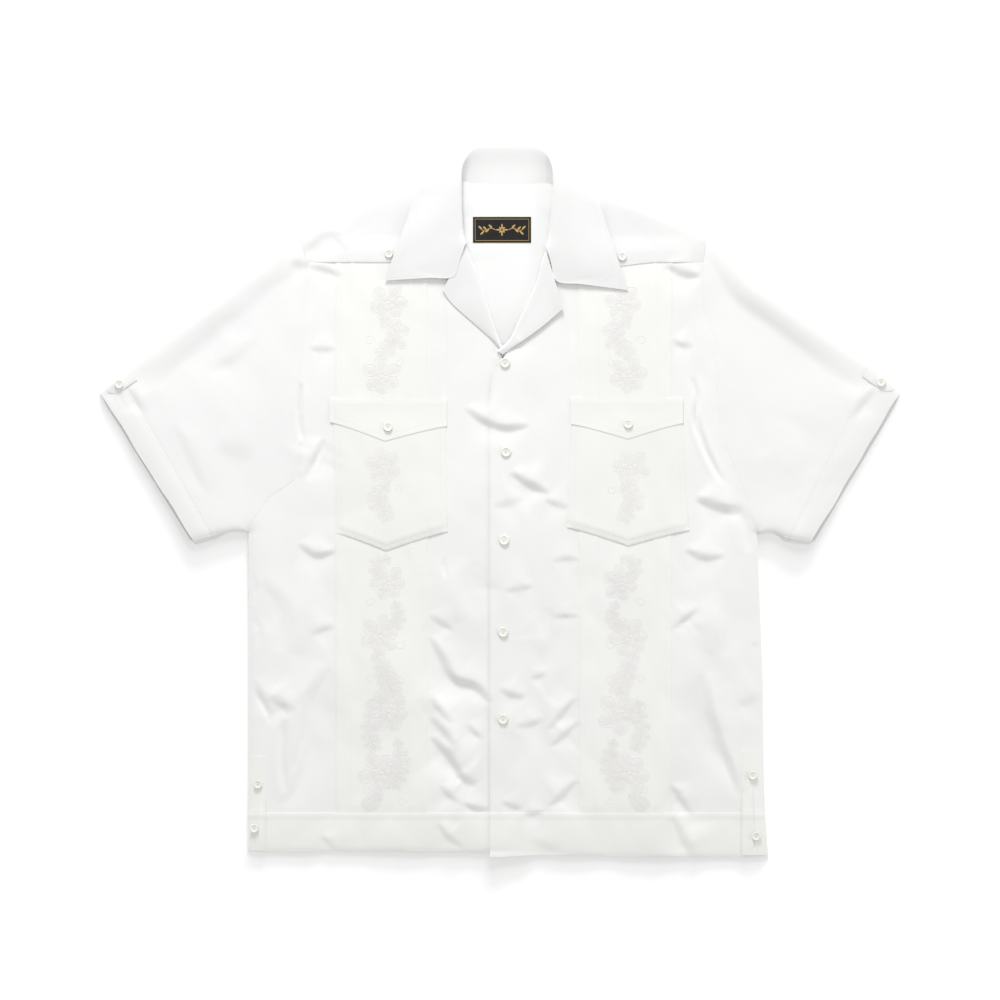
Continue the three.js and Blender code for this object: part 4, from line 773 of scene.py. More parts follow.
def extent(grid):
    across = np.linalg.norm(np.diff(grid, axis=1), axis=-1).sum(1).max()
    along = np.linalg.norm(np.diff(grid, axis=0), axis=-1).sum(0).max()
    return float(across), float(along)


SHEETS, PIECES = {}, {}


def keep(ob, node):
    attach(ob, "root")
    if node:
        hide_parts(*([node] if isinstance(node, str) else node))
    PIECES[ob.name] = ob
    return ob


def panel(node, grid, material, wall=CLOTH, rests=(), round_edge=True):
    """A laid panel: grid is its underside."""
    low, high = grid.copy(), grid.copy()
    high[..., 2] += wall
    verts = np.vstack([low.reshape(-1, 3), high.reshape(-1, 3)])
    r, c = grid.shape[:2]
    ob = build("cloth_" + node, verts, facing_up(shell_faces(r, c), verts), [], material)
    keep(ob, node)
    SHEETS[ob.name] = (extent(grid), area_of(grid), rests)
    return ob


def turned_shell(node, grid, wall, material, rests=(), floor=0.0):
    """A curved wall: the grid is its middle."""
    gr = np.gradient(grid, axis=0)
    gc = np.gradient(grid, axis=1)
    n = np.cross(gr, gc)
    n /= np.linalg.norm(n, axis=-1, keepdims=True) + 1e-9
    low, high = grid - n * wall / 2, grid + n * wall / 2
    for g in (low, high):
        g[..., 2] = np.maximum(g[..., 2], floor)
    verts = np.vstack([low.reshape(-1, 3), high.reshape(-1, 3)])
    r, c = grid.shape[:2]
    ob = build("cloth_" + node, verts, facing_up(shell_faces(r, c), verts), [], material)
    keep(ob, node)
    SHEETS[ob.name] = (extent(grid), area_of(grid), rests)
    return ob, n


def tube_wall(node, outer, inner, material, rests=()):
    """A flattened tube: rings x points x 3 for its outside and its inside."""
    r, n = outer.shape[:2]
    verts = np.vstack([outer.reshape(-1, 3), inner.reshape(-1, 3)])
    i = np.arange(r * n).reshape(r, n)
    nxt = np.roll(i, -1, axis=1)
    out = np.stack([i[:-1], nxt[:-1], nxt[1:], i[1:]], -1).reshape(-1, 4)
    inn = np.stack([i[:-1], i[1:], nxt[1:], nxt[:-1]], -1).reshape(-1, 4) + r * n
    first = np.stack([i[0], i[0] + r * n, nxt[0] + r * n, nxt[0]], -1)
    last = np.stack([i[-1], nxt[-1], nxt[-1] + r * n, i[-1] + r * n], -1)
    quads = np.concatenate([out, inn, first, last])
    ob = build("cloth_" + node, verts, facing_up(quads, verts), [], material)
    keep(ob, node)
    closed = np.concatenate([outer, outer[:, :1]], axis=1)
    SHEETS[ob.name] = (extent(closed), area_of(closed), rests)
    return ob


# ---- stitches and satin ribbons ---------------------------------------------------------------------------------
STITCHES = {}


def stitch(group, line, pitch=3.3, length=2.3, radius=0.17):
    """Row of single stitches along a line of points that lie on the cloth."""
    line = np.asarray(line, float)
    if len(line) < 2:
        return
    run = np.concatenate([[0], np.cumsum(np.linalg.norm(np.diff(line, axis=0), axis=1))])
    n = int(run[-1] // pitch)
    if n < 1:
        return
    begin = (np.arange(n) + 0.5) * run[-1] / n - length / 2

    def point(s):
        return np.column_stack([np.interp(s, run, line[:, k]) for k in range(3)])
    a, b = point(begin), point(begin + length)
    clear = np.minimum(a[:, 2], b[:, 2]) > 0.8
    a, b, n = a[clear], b[clear], int(clear.sum())
    if n < 1:
        return
    STITCHES.setdefault(group, []).append((a, b, np.full(n, radius)))


def emit_stitches():
    for group, parts in STITCHES.items():
        a, b = np.vstack([p[0] for p in parts]), np.vstack([p[1] for p in parts])
        r = np.concatenate([p[2] for p in parts])[:, None]
        t = b - a
        ln = np.linalg.norm(t, axis=1, keepdims=True) + 1e-9
        t = t / ln
        side = np.cross(t, [0, 0, 1.0])
        side /= np.linalg.norm(side, axis=1, keepdims=True) + 1e-9
        up = np.cross(side, t)
        lift = up * r * 0.15
        rings = [a - up * r * 0.7]
        for share in (0.17, 0.83):
            mid = a + t * ln * share + lift
            rings += [mid + side * r, mid + up * r * 0.8, mid - side * r, mid - up * r * 0.9]
        rings.append(b - up * r * 0.7)
        n = len(a)
        verts = np.stack(rings, 1).reshape(-1, 3)
        base = (np.arange(n) * 10)[:, None]
        tris, quads = [], []
        for k in range(4):
            k2 = (k + 1) % 4
            tris += [base + [[0, 1 + k2, 1 + k]], base + [[9, 5 + k, 5 + k2]]]
            quads.append(base + [[1 + k, 1 + k2, 5 + k2, 5 + k]])
        ob = build("stitches_" + group, verts, np.concatenate(quads), np.concatenate(tris), M["stitch"], sharp=0)
        keep(ob, None)


RIBBONS = {}


def ribbon(group, tint, line, half, lift, height):
    """Raised satin shape along a line (x, y): half is its half width at each point, lift(x, y) the cloth's top."""
    line = np.asarray(line, float)
    half = np.broadcast_to(np.asarray(half, float), (len(line),))
    d = np.gradient(line, axis=0)
    d /= np.linalg.norm(d, axis=1, keepdims=True) + 1e-9
    n = np.column_stack([-d[:, 1], d[:, 0]])
    cols = []
    for c, h in ((-1, -0.12), (-0.62, 0.72), (0, 1.0), (0.62, 0.72), (1, -0.12)):
        p = line + n * (half * c)[:, None]
        z = lift(p[:, 0], p[:, 1]) + np.where(h > 0, h * height, h) * (0.35 + 0.65 * np.minimum(1, half / max(half.max(), 1e-6)))
        z[[0, -1]] -= max(h, 0) * height * 0.35 + 0.06
        cols.append(np.column_stack([p, z]))
    RIBBONS.setdefault((group, tint), []).append((np.stack(cols, 1), np.concatenate([[0], np.cumsum(np.linalg.norm(np.diff(line, axis=0), axis=1))])))


def emit_ribbons(names):
    for (group, tint), parts in RIBBONS.items():
        verts, quads, uvs, base = [], [], [], 0
        for cols, run in parts:
            n = len(cols)
            verts.append(cols.reshape(-1, 3))
            uvs.append(np.column_stack([np.tile([0, .25, .5, .75, 1], n), np.repeat(run / 10.0, 5)]))
            i = np.arange(n * 5).reshape(n, 5) + base
            quads.append(np.stack([i[:-1, :-1], i[:-1, 1:], i[1:, 1:], i[1:, :-1]], -1).reshape(-1, 4)[:, ::-1])
            base += n * 5
        ob = build(f"{names[group]}_{tint}", np.vstack(verts), np.concatenate(quads), [], M[tint], uvs=np.vstack(uvs), sharp=0)
        keep(ob, None)


# ---- fronts --------------------------------------------------------------------------------------------------------
SIGN = {"left": -1, "right": 1}


def outer_edge(side, y):
    return rows(BODY, y, 0, 1 if side == "left" else 2)


def centre_edge(side, y):
    return rows(BODY, y, 0, 3 if side == "left" else 4)


def front_under(side, x, y):
    return lie(x, y) + overlap(side, x, y)


def front_top(side, x, y):
    return front_under(side, x, y) + CLOTH


# spacing across a front: open under the tuck strip, dense elsewhere
across = np.concatenate([np.linspace(0, 0.352, 67)[:-1], np.linspace(0.352, 0.638, 14)[:-1], np.linspace(0.638, 1, 69)])
across = np.interp(np.linspace(0, 1, fitted(len(across))), np.linspace(0, 1, len(across)), across)
for side in ("left", "right"):
    ys = np.linspace(HEM_SEAM - 3, YOKE_TUCK, fitted(388))
    a, b = outer_edge(side, ys)[:, None], centre_edge(side, ys)[:, None]
    X, Y = mix(a, b, across[None]), np.repeat(ys[:, None], len(across), 1)
    fine_panel(f"front_{side}", np.dstack([X, Y, front_under(side, X, Y)]), M["body"], rests=("cloth_back_body", "cloth_back_yoke"))


# ---- hem bands ---------------------------------------------------------------------------------------------------------
def hem_line(side, x):
    hem = np.interp(x, HEM[:, 0], HEM[:, 1])
    if side == "right":
        hem = mix(HEM_OVER, hem, smooth((x + 11) / 120))
    return hem


def band_under(side, x, y):
    hem = hem_line(side, x)
    up = smooth((y + 352) / 6.0) * (CLOTH + 0.05) - 0.26 * smooth((y + 344.6) / 1.6)
    curl = 0.35 * np.exp(-((y - hem) / 2.2) ** 2)
    return front_under(side, x, y) + up - curl


def waver(x, seed, size, period):
    rng = np.random.default_rng(seed)
    out = 0 * np.asarray(x, float)
    for k in range(4):
        out = out + np.sin(np.asarray(x, float) / (period * (0.6 + 0.45 * k)) + rng.uniform(0, 6.3)) * rng.uniform(0.4, 1)
    return out * size / 2.2


for side in ("left", "right"):
    u, v = np.linspace(0, 1, 184), np.linspace(0, 1, 28)
    top = mix(outer_edge(side, HEM_SEAM), centre_edge(side, HEM_SEAM), u)
    low = mix(HEM_SIDE[side], centre_edge(side, HEM_SEAM), u)
    X = mix(low[None], top[None], v[:, None])
    hem = hem_line(side, low) + waver(low, 5, 0.45, 19)
    Y = mix(hem[None], HEM_SEAM, v[:, None])
    fine_panel(f"front_hem_band_{side}", np.dstack([X, Y, band_under(side, X, Y)]), M["hem"], wall=0.5,
               rests=("cloth_back_hem_band",))
    for off in (1.8, 40.5):
        yy = hem_line(side, low) + off if off < 10 else np.full_like(low, HEM_SEAM - 1.6)
        xx = mix(low, top, 0.05 if off < 10 else 0.97)
        sel = slice(2, -2)
        stitch("hem", np.column_stack([xx, yy, band_under(side, xx, yy) + 0.5])[sel], radius=0.13)


# ---- tuck strips -------------------------------------------------------------------------------------------------------------
def tuck_rise(side, x, y):
    x0, x1 = STRIP[side]
    rise = 0 * x
    p = POCKET[side]
    covered = smooth((y - p["point"][1] - 4) / 10) * smooth((p["top"] - 2 - y) / 8)
    sewn = smooth((y - HEM_SEAM) / 9) * (1 - 0.75 * covered)
    for k, share in enumerate(TUCK_AT):
        c = mix(x0, x1, share) + 0.35 * np.sin(y / 31 + 2 * k)
        s = (x - c) / 1.7
        rise = rise + 0.30 * np.exp(-s * s) * (1 + 0.15 * np.sin(y / 6.5 + k) + 0.2 * np.sin(y / 41 + 2 * k))
    return rise * sewn


def strip_under(side, x, y):
    x0, x1 = STRIP[side]
    edge = np.minimum(x - x0, x1 - x)
    fuller = 0.10 * smooth(edge / 6) + 0.07 * np.sin(y / 5.3 + 2.5 * np.sin(y / 37)) * np.exp(-np.maximum(edge, 0) / 3.2)
    seam = smooth((y - HEM_SEAM) / 8)
    return lie(x, y) + (STRIP_OVER + fuller - 0.13) * (0.3 + 0.7 * seam)


def strip_top(side, x, y):
    x0, x1 = STRIP[side]
    edge = np.maximum(np.minimum(x - x0, x1 - x), 0)
    return strip_under(side, x, y) + CLOTH + np.maximum(0, tuck_rise(side, x, y)) - 0.24 * np.exp(-(edge / 0.9) ** 2)


for side in ("left", "right"):
    x0, x1 = STRIP[side]
    fine = [0, 0.4]
    for c in TUCK_AT:
        fine += list(c * (x1 - x0) + np.array([-3.0, -1.9, -1.1, -0.55, 0, 0.55, 1.1, 1.9, 3.0]))
    fine += [x1 - x0 - 0.4, x1 - x0] + list(np.arange(2.6, x1 - x0 - 2, 2.0))
    fine = np.array(sorted(v for v in set(np.round(fine, 2)) if 0 <= v <= x1 - x0))
    fine = fine[np.concatenate([[True], np.diff(fine) > 0.36])]
    fine = np.interp(np.linspace(0, 1, fitted(len(fine))), np.linspace(0, 1, len(fine)), fine)
    ys = np.linspace(HEM_SEAM + 0.2, 266, fitted(290))
    X, Y = np.meshgrid(x0 + fine, ys)
    X = X + (waver(Y, 31, 0.5, 21) * np.exp(-(fine[None] / 4)) + waver(Y, 32, 0.5, 24) * np.exp(-((fine[-1] - fine[None]) / 4)))
    ob = fine_shell(f"tuck_strip_{side}", np.dstack([X, Y, strip_top(side, X, Y)]), strip_under(side, X, Y), M["strip"],
                    (f"cloth_front_{side}",))
    yy = np.arange(HEM_SEAM + 4, 262, 2.0)
    for off in (1.6, x1 - x0 - 1.6):
        xx = np.full_like(yy, x0 + off)
        stitch("strips", np.column_stack([xx, yy, strip_top(side, xx, yy)]), radius=0.13)
    for share in TUCK_AT:
        xx = np.full_like(yy, mix(x0, x1, share) + 2.3)
        stitch("strips", np.column_stack([xx, yy, strip_top(side, xx, yy)]), pitch=3.9, length=2.5, radius=0.11)


# ---- pockets and flaps ------------------------------------------------------------------------------------------------------------
def pointed(x, xs, ys, point):
    left = mix(ys[0], point[1], np.clip((x - xs[0]) / (point[0] - xs[0]), 0, 1) ** 1.15)
    right = mix(ys[1], point[1], np.clip((xs[1] - x) / (xs[1] - point[0]), 0, 1) ** 1.15)
    return np.where(x < point[0], left, right)


def pocket_under(side, x, y):
    p = POCKET[side]
    low = pointed(x, p["x_low"], p["low"], p["point"])
    t = np.clip((y - low) / (p["top"] - low), 0, 1)
    xl, xr = mix(p["x_low"][0], p["x_top"][0], t), mix(p["x_low"][1], p["x_top"][1], t)
    edge = np.clip(np.minimum(x - xl, xr - x), 0, None)
    up = np.clip(y - low, 0, None)
    gather = 0.5 + 0.5 * np.sin(x / 1.15 + 2.6 * np.sin(x / 9.0) + (0 if side == "left" else 2))
    gather = gather * (0.45 + 0.55 * np.exp(-((x - p["point"][0]) / 34) ** 2))
    seam = 1.35 * (up / 6.5) * np.exp(1 - up / 6.5) * (0.5 + 0.75 * gather * np.exp(-up / 9)) * smooth(edge / 14 + 0.25)
    seam = seam - 0.52 * gather * np.exp(-((up - 4.2) / 2.6) ** 2)
    belly = 0.8 * smooth(edge / 30) * smooth(up / 30) * smooth((p["top"] - y) / 30)
    draped = 0.56 + (POCKET_OVER - 0.62) * (1 - np.exp(-edge / 7.0)) * (0.42 + 0.58 * smooth(up / 11)) + 0.34 * np.exp(-up / 1.6)
    return lie(x, y) + draped + seam + belly


def pocket_top(side, x, y):
    return pocket_under(side, x, y) + CLOTH


def flap_under(side, x, y):
    f = FLAP[side]
    low = pointed(x, f["x"], f["low"], f["point"])
    up = np.clip(y - low, 0, None)
    edge = np.clip(np.minimum(x - f["x"][0], f["x"][1] - x), 0, None)
    ends = np.exp(-edge / 9)
    lift = 0.10 * np.exp(-up / 6) * (1 + waver(x, 9 if side == "left" else 14, 0.8, 13)) + 0.42 * ends * np.exp(-up / 7)
    top = -0.4 * np.exp(-(f["top"] - y) / 3.0)
    close = 0.72 + (FLAP_OVER - 0.95) * (1 - np.exp(-edge / 9.0))
    base = np.maximum(lie(x, y) + close, pocket_under(side, x, np.minimum(y, POCKET[side]["top"])) + CLOTH + 0.1)
    return base + lift + top


def flap_top(side, x, y):
    return flap_under(side, x, y) + 0.42


for side in ("left", "right"):
    p, f = POCKET[side], FLAP[side]
    s, t = np.linspace(0, 1, 103), np.concatenate([np.linspace(0, 0.14, 24), np.linspace(0.152, 1, 73)])
    S, T = np.meshgrid(s, t)
    xl, xt = mix(*p["x_low"], S), mix(*p["x_top"], S)
    X = mix(xl, xt, T)
    Y = mix(pointed(xl, p["x_low"], p["low"], p["point"]), p["top"], T)
    X = X + waver(Y, 41, 0.5, 16) * (1 - smooth(S / 0.08)) + waver(Y, 42, 0.5, 18) * (1 - smooth((1 - S) / 0.08))
    fine_panel(f"pocket_{side}", np.dstack([X, Y, pocket_under(side, X, Y)]), M["pocket"], rests=(f"cloth_tuck_strip_{side}",))
    low = np.column_stack([xl[0], Y[0]])
    for inset in (1.5, 6.5):
        keep_ = slice(3, -3)
        q = low[keep_] + [0, inset]
        stitch("pockets", np.column_stack([q, pocket_top(side, q[:, 0], q[:, 1])]))
        yy = np.linspace(low[0, 1] + 6, p["top"] - 22, 60)
        for k, sgn in ((0, 1), (1, -1)):
            tt = (yy - p["low"][k]) / (p["top"] - p["low"][k])
            xx = mix(p["x_low"][k], p["x_top"][k], tt) + sgn * inset
            stitch("pockets", np.column_stack([xx, yy, pocket_top(side, xx, yy)]))
    s, t = np.linspace(0, 1, 103), np.linspace(0, 1, 34)
    S, T = np.meshgrid(s, t)
    X = mix(f["x"][0], f["x"][1], S)
    Y = mix(pointed(X, f["x"], f["low"], f["point"]), f["top"], T)
    fine_panel(f"pocket_flap_{side}", np.dstack([X, Y, flap_under(side, X, Y)]), M["pocket"], wall=0.42, rests=(f"cloth_pocket_{side}",))
    for inset in (1.5, 6.5):
        xx = X[0][3:-3]
        yy = Y[0][3:-3] + inset
        stitch("pockets", np.column_stack([xx, yy, flap_top(side, xx, yy)]))
        yt = np.full_like(xx, f["top"] - inset)
        stitch("pockets", np.column_stack([xx, yt, flap_top(side, xx, yt)]))
        for k, sgn in ((0, 1), (1, -1)):
            yy = np.linspace(f["low"][k] + 5, f["top"] - 4, 20)
            xx = np.full_like(yy, f["x"][k] + sgn * inset)
            stitch("pockets", np.column_stack([xx, yy, flap_top(side, xx, yy)]))


# ---- yoke over the shoulders -----------------------------------------------------------------------------------------------------------
def yoke_shoulder(side, t):
    a, b = ARM_TOP[side], YOKE[side]["high"]
    inset = 3.4 * smooth((t - 0.52) / 0.2)
    return mix(a[0], b[0], t), mix(a[1], b[1], t) - inset


def yoke_under(x, y):
    from_seam = np.where(x < 7, x + 213.2, 223.4 - x)
    lifted = mix(0.26, YOKE_OVER - 0.3, smooth((from_seam - 4) / 34)) * (1 - smooth((y - YOKE_TUCK - 2) / 22))
    edge = -0.25 * np.exp(-np.maximum(y - YOKE_EDGE, 0) / 2.0)
    return lie(x, y) + np.maximum(lifted + edge, neck_lift(x, y) + 0.35 * smooth((y - 300) / 26))


for side in ("left", "right"):
    u, v = np.linspace(0, 1, 103), np.linspace(0, 1, 67)
    U, V = np.meshgrid(u, v)
    lx = mix(float(outer_edge(side, YOKE_EDGE)), YOKE[side]["low"], U)
    ly = YOKE_EDGE + 0 * U
    if side == "right":
        ly = ly - 5.0 * smooth((176 - lx) / 60) * smooth((lx - 60) / 60)
    hx, hy = yoke_shoulder(side, U)
    X, Y = mix(lx, hx, V), mix(ly, hy, V)
    # the right yoke takes the darker copy of the yoke cloth, painted shade
    fine_panel(f"yoke_front_{side}", np.dstack([X, Y, yoke_under(X, Y)]), M["yoke" if side == "left" else "yoke_right"], rests=(f"cloth_front_{side}", "cloth_back_yoke"))
    for inset in (1.5,):
        xx, yy = X[0][2:-2], Y[0][2:-2] + inset
        stitch("yoke", np.column_stack([xx, yy, yoke_under(xx, yy) + CLOTH]))

# ---- back, back yoke, back hem band --------------------------------------------------------------------------------------------------------
ys = np.linspace(HEM_SEAM, BACK_YOKE + 0.27, 118)
u = np.linspace(0, 1, 109)
X = mix(outer_edge("left", ys)[:, None], outer_edge("right", ys)[:, None], u[None])
Y = np.repeat(ys[:, None], len(u), 1)
# painted light: the back takes the lighter inside material
panel("back_body", np.dstack([X, Y, at(BACK, X, Y) + 2.0 * at(NECK_IN, X, Y)]), M["inside"], rests=("floor",))
u, v = np.linspace(0, 1, 131), np.linspace(0, 1, 12)
xl = mix(HEM_SIDE["left"] + 0.5, HEM_SIDE["right"] - 0.8, u)
xt = mix(outer_edge("left", HEM_SEAM), outer_edge("right", HEM_SEAM), u)
X = mix(xl[None], xt[None], v[:, None])
Y = mix(np.interp(xl, HEM[:, 0], HEM[:, 2])[None], HEM_SEAM - 0.3, v[:, None])
panel("back_hem_band", np.dstack([X, Y, at(BACK, X, Y)]), M["hem"], rests=("floor",))
stitch_line = np.column_stack([xl[2:-2], np.interp(xl, HEM[:, 0], HEM[:, 2])[2:-2] + 1.8])
NECK = [(-56, 361.6), (-47.5, 352.7), (-31, 348.7), (-14, 347.1), (9, 346.5), (32, 347.1), (46, 348.7), (62, 347.2), (70, 352.6)]
top = [yoke_shoulder("left", t) for t in (0, 0.15, 0.3, 0.45, 0.6, 0.7, 0.8, 0.9)]
top += NECK + [yoke_shoulder("right", t) for t in (0.9, 0.8, 0.7, 0.6, 0.45, 0.3, 0.15, 0)]
top = resample(np.array(top, float), 3.6)
n = len(top)
lowL, lowR = float(outer_edge("left", BACK_YOKE)), float(outer_edge("right", BACK_YOKE))
vs = np.linspace(0, 1, 27)
i = np.arange(n)
share = mix(i / (n - 1), (top[:, 0] - ARM_TOP["left"][0]) / (ARM_TOP["right"][0] - ARM_TOP["left"][0]), 0.85)
X = mix(mix(lowL, lowR, share)[None], top[:, 0][None], vs[:, None])
Y = mix(BACK_YOKE + 0.3, top[:, 1][None], vs[:, None])
for col, side in ((0, "left"), (n - 1, "right")):
    yy = Y[:, col]
    hi = mix(float(outer_edge(side, YOKE_EDGE)), ARM_TOP[side][0], np.clip((yy - YOKE_EDGE) / (ARM_TOP[side][1] - YOKE_EDGE), 0, 1))
    X[:, col] = np.where(yy < YOKE_EDGE, outer_edge(side, yy), hi)
BACK_YOKE_GRID = np.dstack([X, Y, at(BACK, X, Y) * smooth((300 - Y) / 30) + np.maximum(neck_lift(X, Y), 2.0 * at(NECK_IN, X, Y))])
# painted light: the back yoke takes the lighter inside material
panel("back_yoke", BACK_YOKE_GRID, M["inside"], rests=("floor",))


# ---- sleeves and bands -------------------------------------------------------------------------------------------------------------------------
def ring(top_line, low_line, under, spread=0.0, tuck=0.0):
    """Closed loops round a flattened tube, outside and inside. At the underarm the lower layer can stand out by spread."""
    tz = under(top_line[:, 0], top_line[:, 1]) - tuck
    lz = at(BACK, low_line[:, 0], low_line[:, 1])
    tz = np.maximum(tz, lz + CLOTH + 0.05)
    fold0, fold1 = top_line[0], top_line[-1]
    in0 = (top_line[1] - fold0) / (np.linalg.norm(top_line[1] - fold0) + 1e-9)
    out1 = (fold1 - top_line[-2]) / (np.linalg.norm(fold1 - top_line[-2]) + 1e-9)
    w = min(1.0, spread / 4.0)
    lo, hi = low_line[1:-1], top_line[1:-1][::-1]
    zl, zh = lz[1:-1], tz[1:-1][::-1]
    top1 = mix(0.95, tz[-2] + CLOTH - 0.15, w)
    under_arm = [(*(fold1 + out1 * spread), 0.45), (*(fold1 - out1 * 1.7 * w), mix(0.7, 1.0, w)), (*fold1, top1)]
    under_in = [(*(fold1 + out1 * (spread - 0.45)), 0.55), (*(fold1 - out1 * (1.7 * w + 0.45)), mix(0.7, 1.05, w)), (*(fold1 - out1 * 0.45), top1 - 0.35)]
    outer = np.vstack([[*fold0, 0.6], np.column_stack([lo, zl]), under_arm, np.column_stack([hi, zh + CLOTH])])
    inner = np.vstack([[*(fold0 + in0 * 0.45), 0.6], np.column_stack([lo, zl + CLOTH]), under_in, np.column_stack([hi, zh])])
    return outer, inner


def ease_ends(n):
    """Shares across a tube, closer together at its two folds."""
    t = np.linspace(0, 1, n)
    return mix(t, 0.5 - 0.5 * np.cos(np.pi * t), 0.55)


for side in ("left", "right"):
    sgn = SIGN[side]
    hole = armhole(side)
    run = np.concatenate([[0], np.cumsum(np.linalg.norm(np.diff(hole, axis=0), axis=1))])
    share = ease_ends(98)
    hole = np.column_stack([np.interp(share * run[-1], run, hole[:, k]) for k in range(2)])
    tab_ = SLEEVE[side]
    ends0 = np.array(tab_[0, 1:3]), np.array(tab_[0, 3:5])

    def chord(row_over, row_arm):
        return mix(row_over[None], row_arm[None], share[:, None])
    outs, inns = [], []
    first_chord = chord(*ends0)
    steps = np.concatenate([[-0.012], np.linspace(0, 1, 76), [1.012]])
    for s in steps:
        sc = min(max(s, 0), 1)
        over = np.array([rows(tab_, sc, 0, 1), rows(tab_, sc, 0, 2)], float)
        arm = np.array([rows(tab_, sc, 0, 3), rows(tab_, sc, 0, 4)], float)
        if s > 1:
            over = np.array(BAND[side][0, 1:3]) + (np.array(BAND[side][1, 1:3]) - BAND[side][0, 1:3]) * 0.1
            arm = np.array(BAND[side][0, 3:5]) + (np.array(BAND[side][1, 3:5]) - BAND[side][0, 3:5]) * 0.1
        line = chord(over, arm) + (1 - sc) ** 1.3 * (hole - first_chord)
        if s < 0:
            line = line - np.array([sgn * 2.4, 0]) * (np.clip(np.sin(np.pi * share), 0, 1) ** 0.3)[:, None]
        line = line + np.array([sgn * 0.3, 0])
        drop = 0.28 * (1 - smooth(s / 0.018)) if s < 0.02 else (0.3 * smooth((s - 0.985) / 0.02) if s > 0.985 else 0)
        o, i_ = ring(line, line, lie, spread=4.6 * float(smooth((s - 0.42) / 0.58)), tuck=drop)
        outs.append(o); inns.append(i_)
    tube_wall(f"sleeve_{side}", np.array(outs), np.array(inns), M[f"sleeve_{side}"], rests=("floor",))

    outs, inns = [], []
    btab = BAND[side]
    for s in np.linspace(0, 1, 16):
        over = np.array([rows(btab, s, 0, 1), rows(btab, s, 0, 2)], float)
        arm = np.array([rows(btab, s, 0, 3), rows(btab, s, 0, 4)], float)
        line = mix(over[None], arm[None], share[:, None]) + np.array([sgn * 0.35, 0])
        dx, dy = arm - over
        ln = math.hypot(dx, dy)
        normal = np.array([sgn * abs(dy) / ln, -abs(dx) / ln])
        reach = (2.4 if side == "left" else 3.0) * smooth((s - 0.5) / 0.5)
        e = reach * smooth(share / 0.1) * smooth((1 - share) / 0.08 + 0.6)
        low = line + normal[None] * e[:, None]
        bulge = lambda x, y, s=s: lie(x, y) + 0.30 * smooth(s / 0.3) + 0.15 * np.sin(np.pi * s)
        wob = waver(share * 300, 77 if side == "left" else 78, 0.8, 21) * s
        line = line + normal[None] * wob[:, None]
        o, i_ = ring(line, low, bulge, spread=4.6)
        outs.append(o); inns.append(i_)
    tube_wall(f"sleeve_band_{side}", np.array(outs), np.array(inns), M[f"sleeve_{side}"], rests=("floor",))
    for s in (0.06, 0.94):
        over = np.array([rows(btab, s, 0, 1), rows(btab, s, 0, 2)], float)
        arm = np.array([rows(btab, s, 0, 3), rows(btab, s, 0, 4)], float)
        q = mix(over[None], arm[None], np.linspace(0.03, 0.97, 140)[:, None]) + np.array([sgn * 0.35, 0])
        stitch("sleeves", np.column_stack([q, lie(q[:, 0], q[:, 1]) + 0.30 * smooth(s / 0.3) + 0.15 * np.sin(np.pi * s) + CLOTH]), radius=0.12)
    q = armhole(side)[3:-3] + np.array([-sgn * 1.6, 0])
    z = np.where(q[:, 1] > YOKE_EDGE, yoke_under(q[:, 0], q[:, 1]), front_under(side, q[:, 0], q[:, 1])) + CLOTH
    stitch("sleeves", np.column_stack([q, z]))

# ---- sleeve tabs -----------------------------------------------------------------------------------------------------------------------------------
for side in ("left", "right"):
    (fx, fy), (tx, ty) = TAB[side]
    ln = math.hypot(tx - fx, ty - fy)
    nx, ny = -(ty - fy) / ln, (tx - fx) / ln
    t = np.linspace(0, 1, 34)
    w = 7.0 * np.interp(t, [0, 0.6, 0.8, 0.92, 1], [1, 1, 0.86, 0.6, 0.25])
    s = np.linspace(-1, 1, 15)
    T, S = np.meshgrid(t, s, indexing="ij")
    X = mix(fx, tx, T) + nx * S * w[:, None]
    Y = mix(fy, ty, T) + ny * S * w[:, None]
    Z = lie(X, Y) + CLOTH + 0.66 + 0.2 * np.sin(np.pi * T) - 0.3 * np.abs(S) ** 4
    panel(f"sleeve_tab_{side}", np.dstack([X, Y, Z]), M[f"sleeve_{side}"], wall=0.45, rests=(f"cloth_sleeve_band_{side}",))
    inner = [(i, j) for i, j in [(k, 2) for k in range(1, 31)]] + [(31, j) for j in range(3, 12)] + [(k, 12) for k in range(30, 0, -1)]
    stitch("sleeves", np.array([[X[i, j], Y[i, j], Z[i, j] + 0.45] for i, j in inner]), pitch=3.0, length=2.0, radius=0.13)


# ---- collar ----------------------------------------------------------------------------------------------------------------------------------------------
def collar_section(row, gorge):
    seam, roll, mid, edge = row[0:3], row[3:6], row[6:9].copy(), row[9:12]
    if gorge is not None:
        mid = np.array([*gorge, row[8] - 1.5])
    outward, stand = mid - roll, seam - roll
    g = 1.0 if gorge is not None else 0.0
    return np.array([
        seam, mix(seam, roll, 0.45), roll + stand / np.linalg.norm(stand) * min(1.6, np.linalg.norm(stand) * 0.3), roll,
        roll + outward / np.linalg.norm(outward) * 2.4 + [0, 0, 0.9 * g], mix(roll, mid, 0.5), mid,
        mix(mid, edge, 0.35 if g else 0.5) + [0, 0, 0.5 * g], mix(mid, edge, 0.7 if g else 0.8) + [0, 0, -0.3 * g], edge - [0, 0, 1.1 * g]])


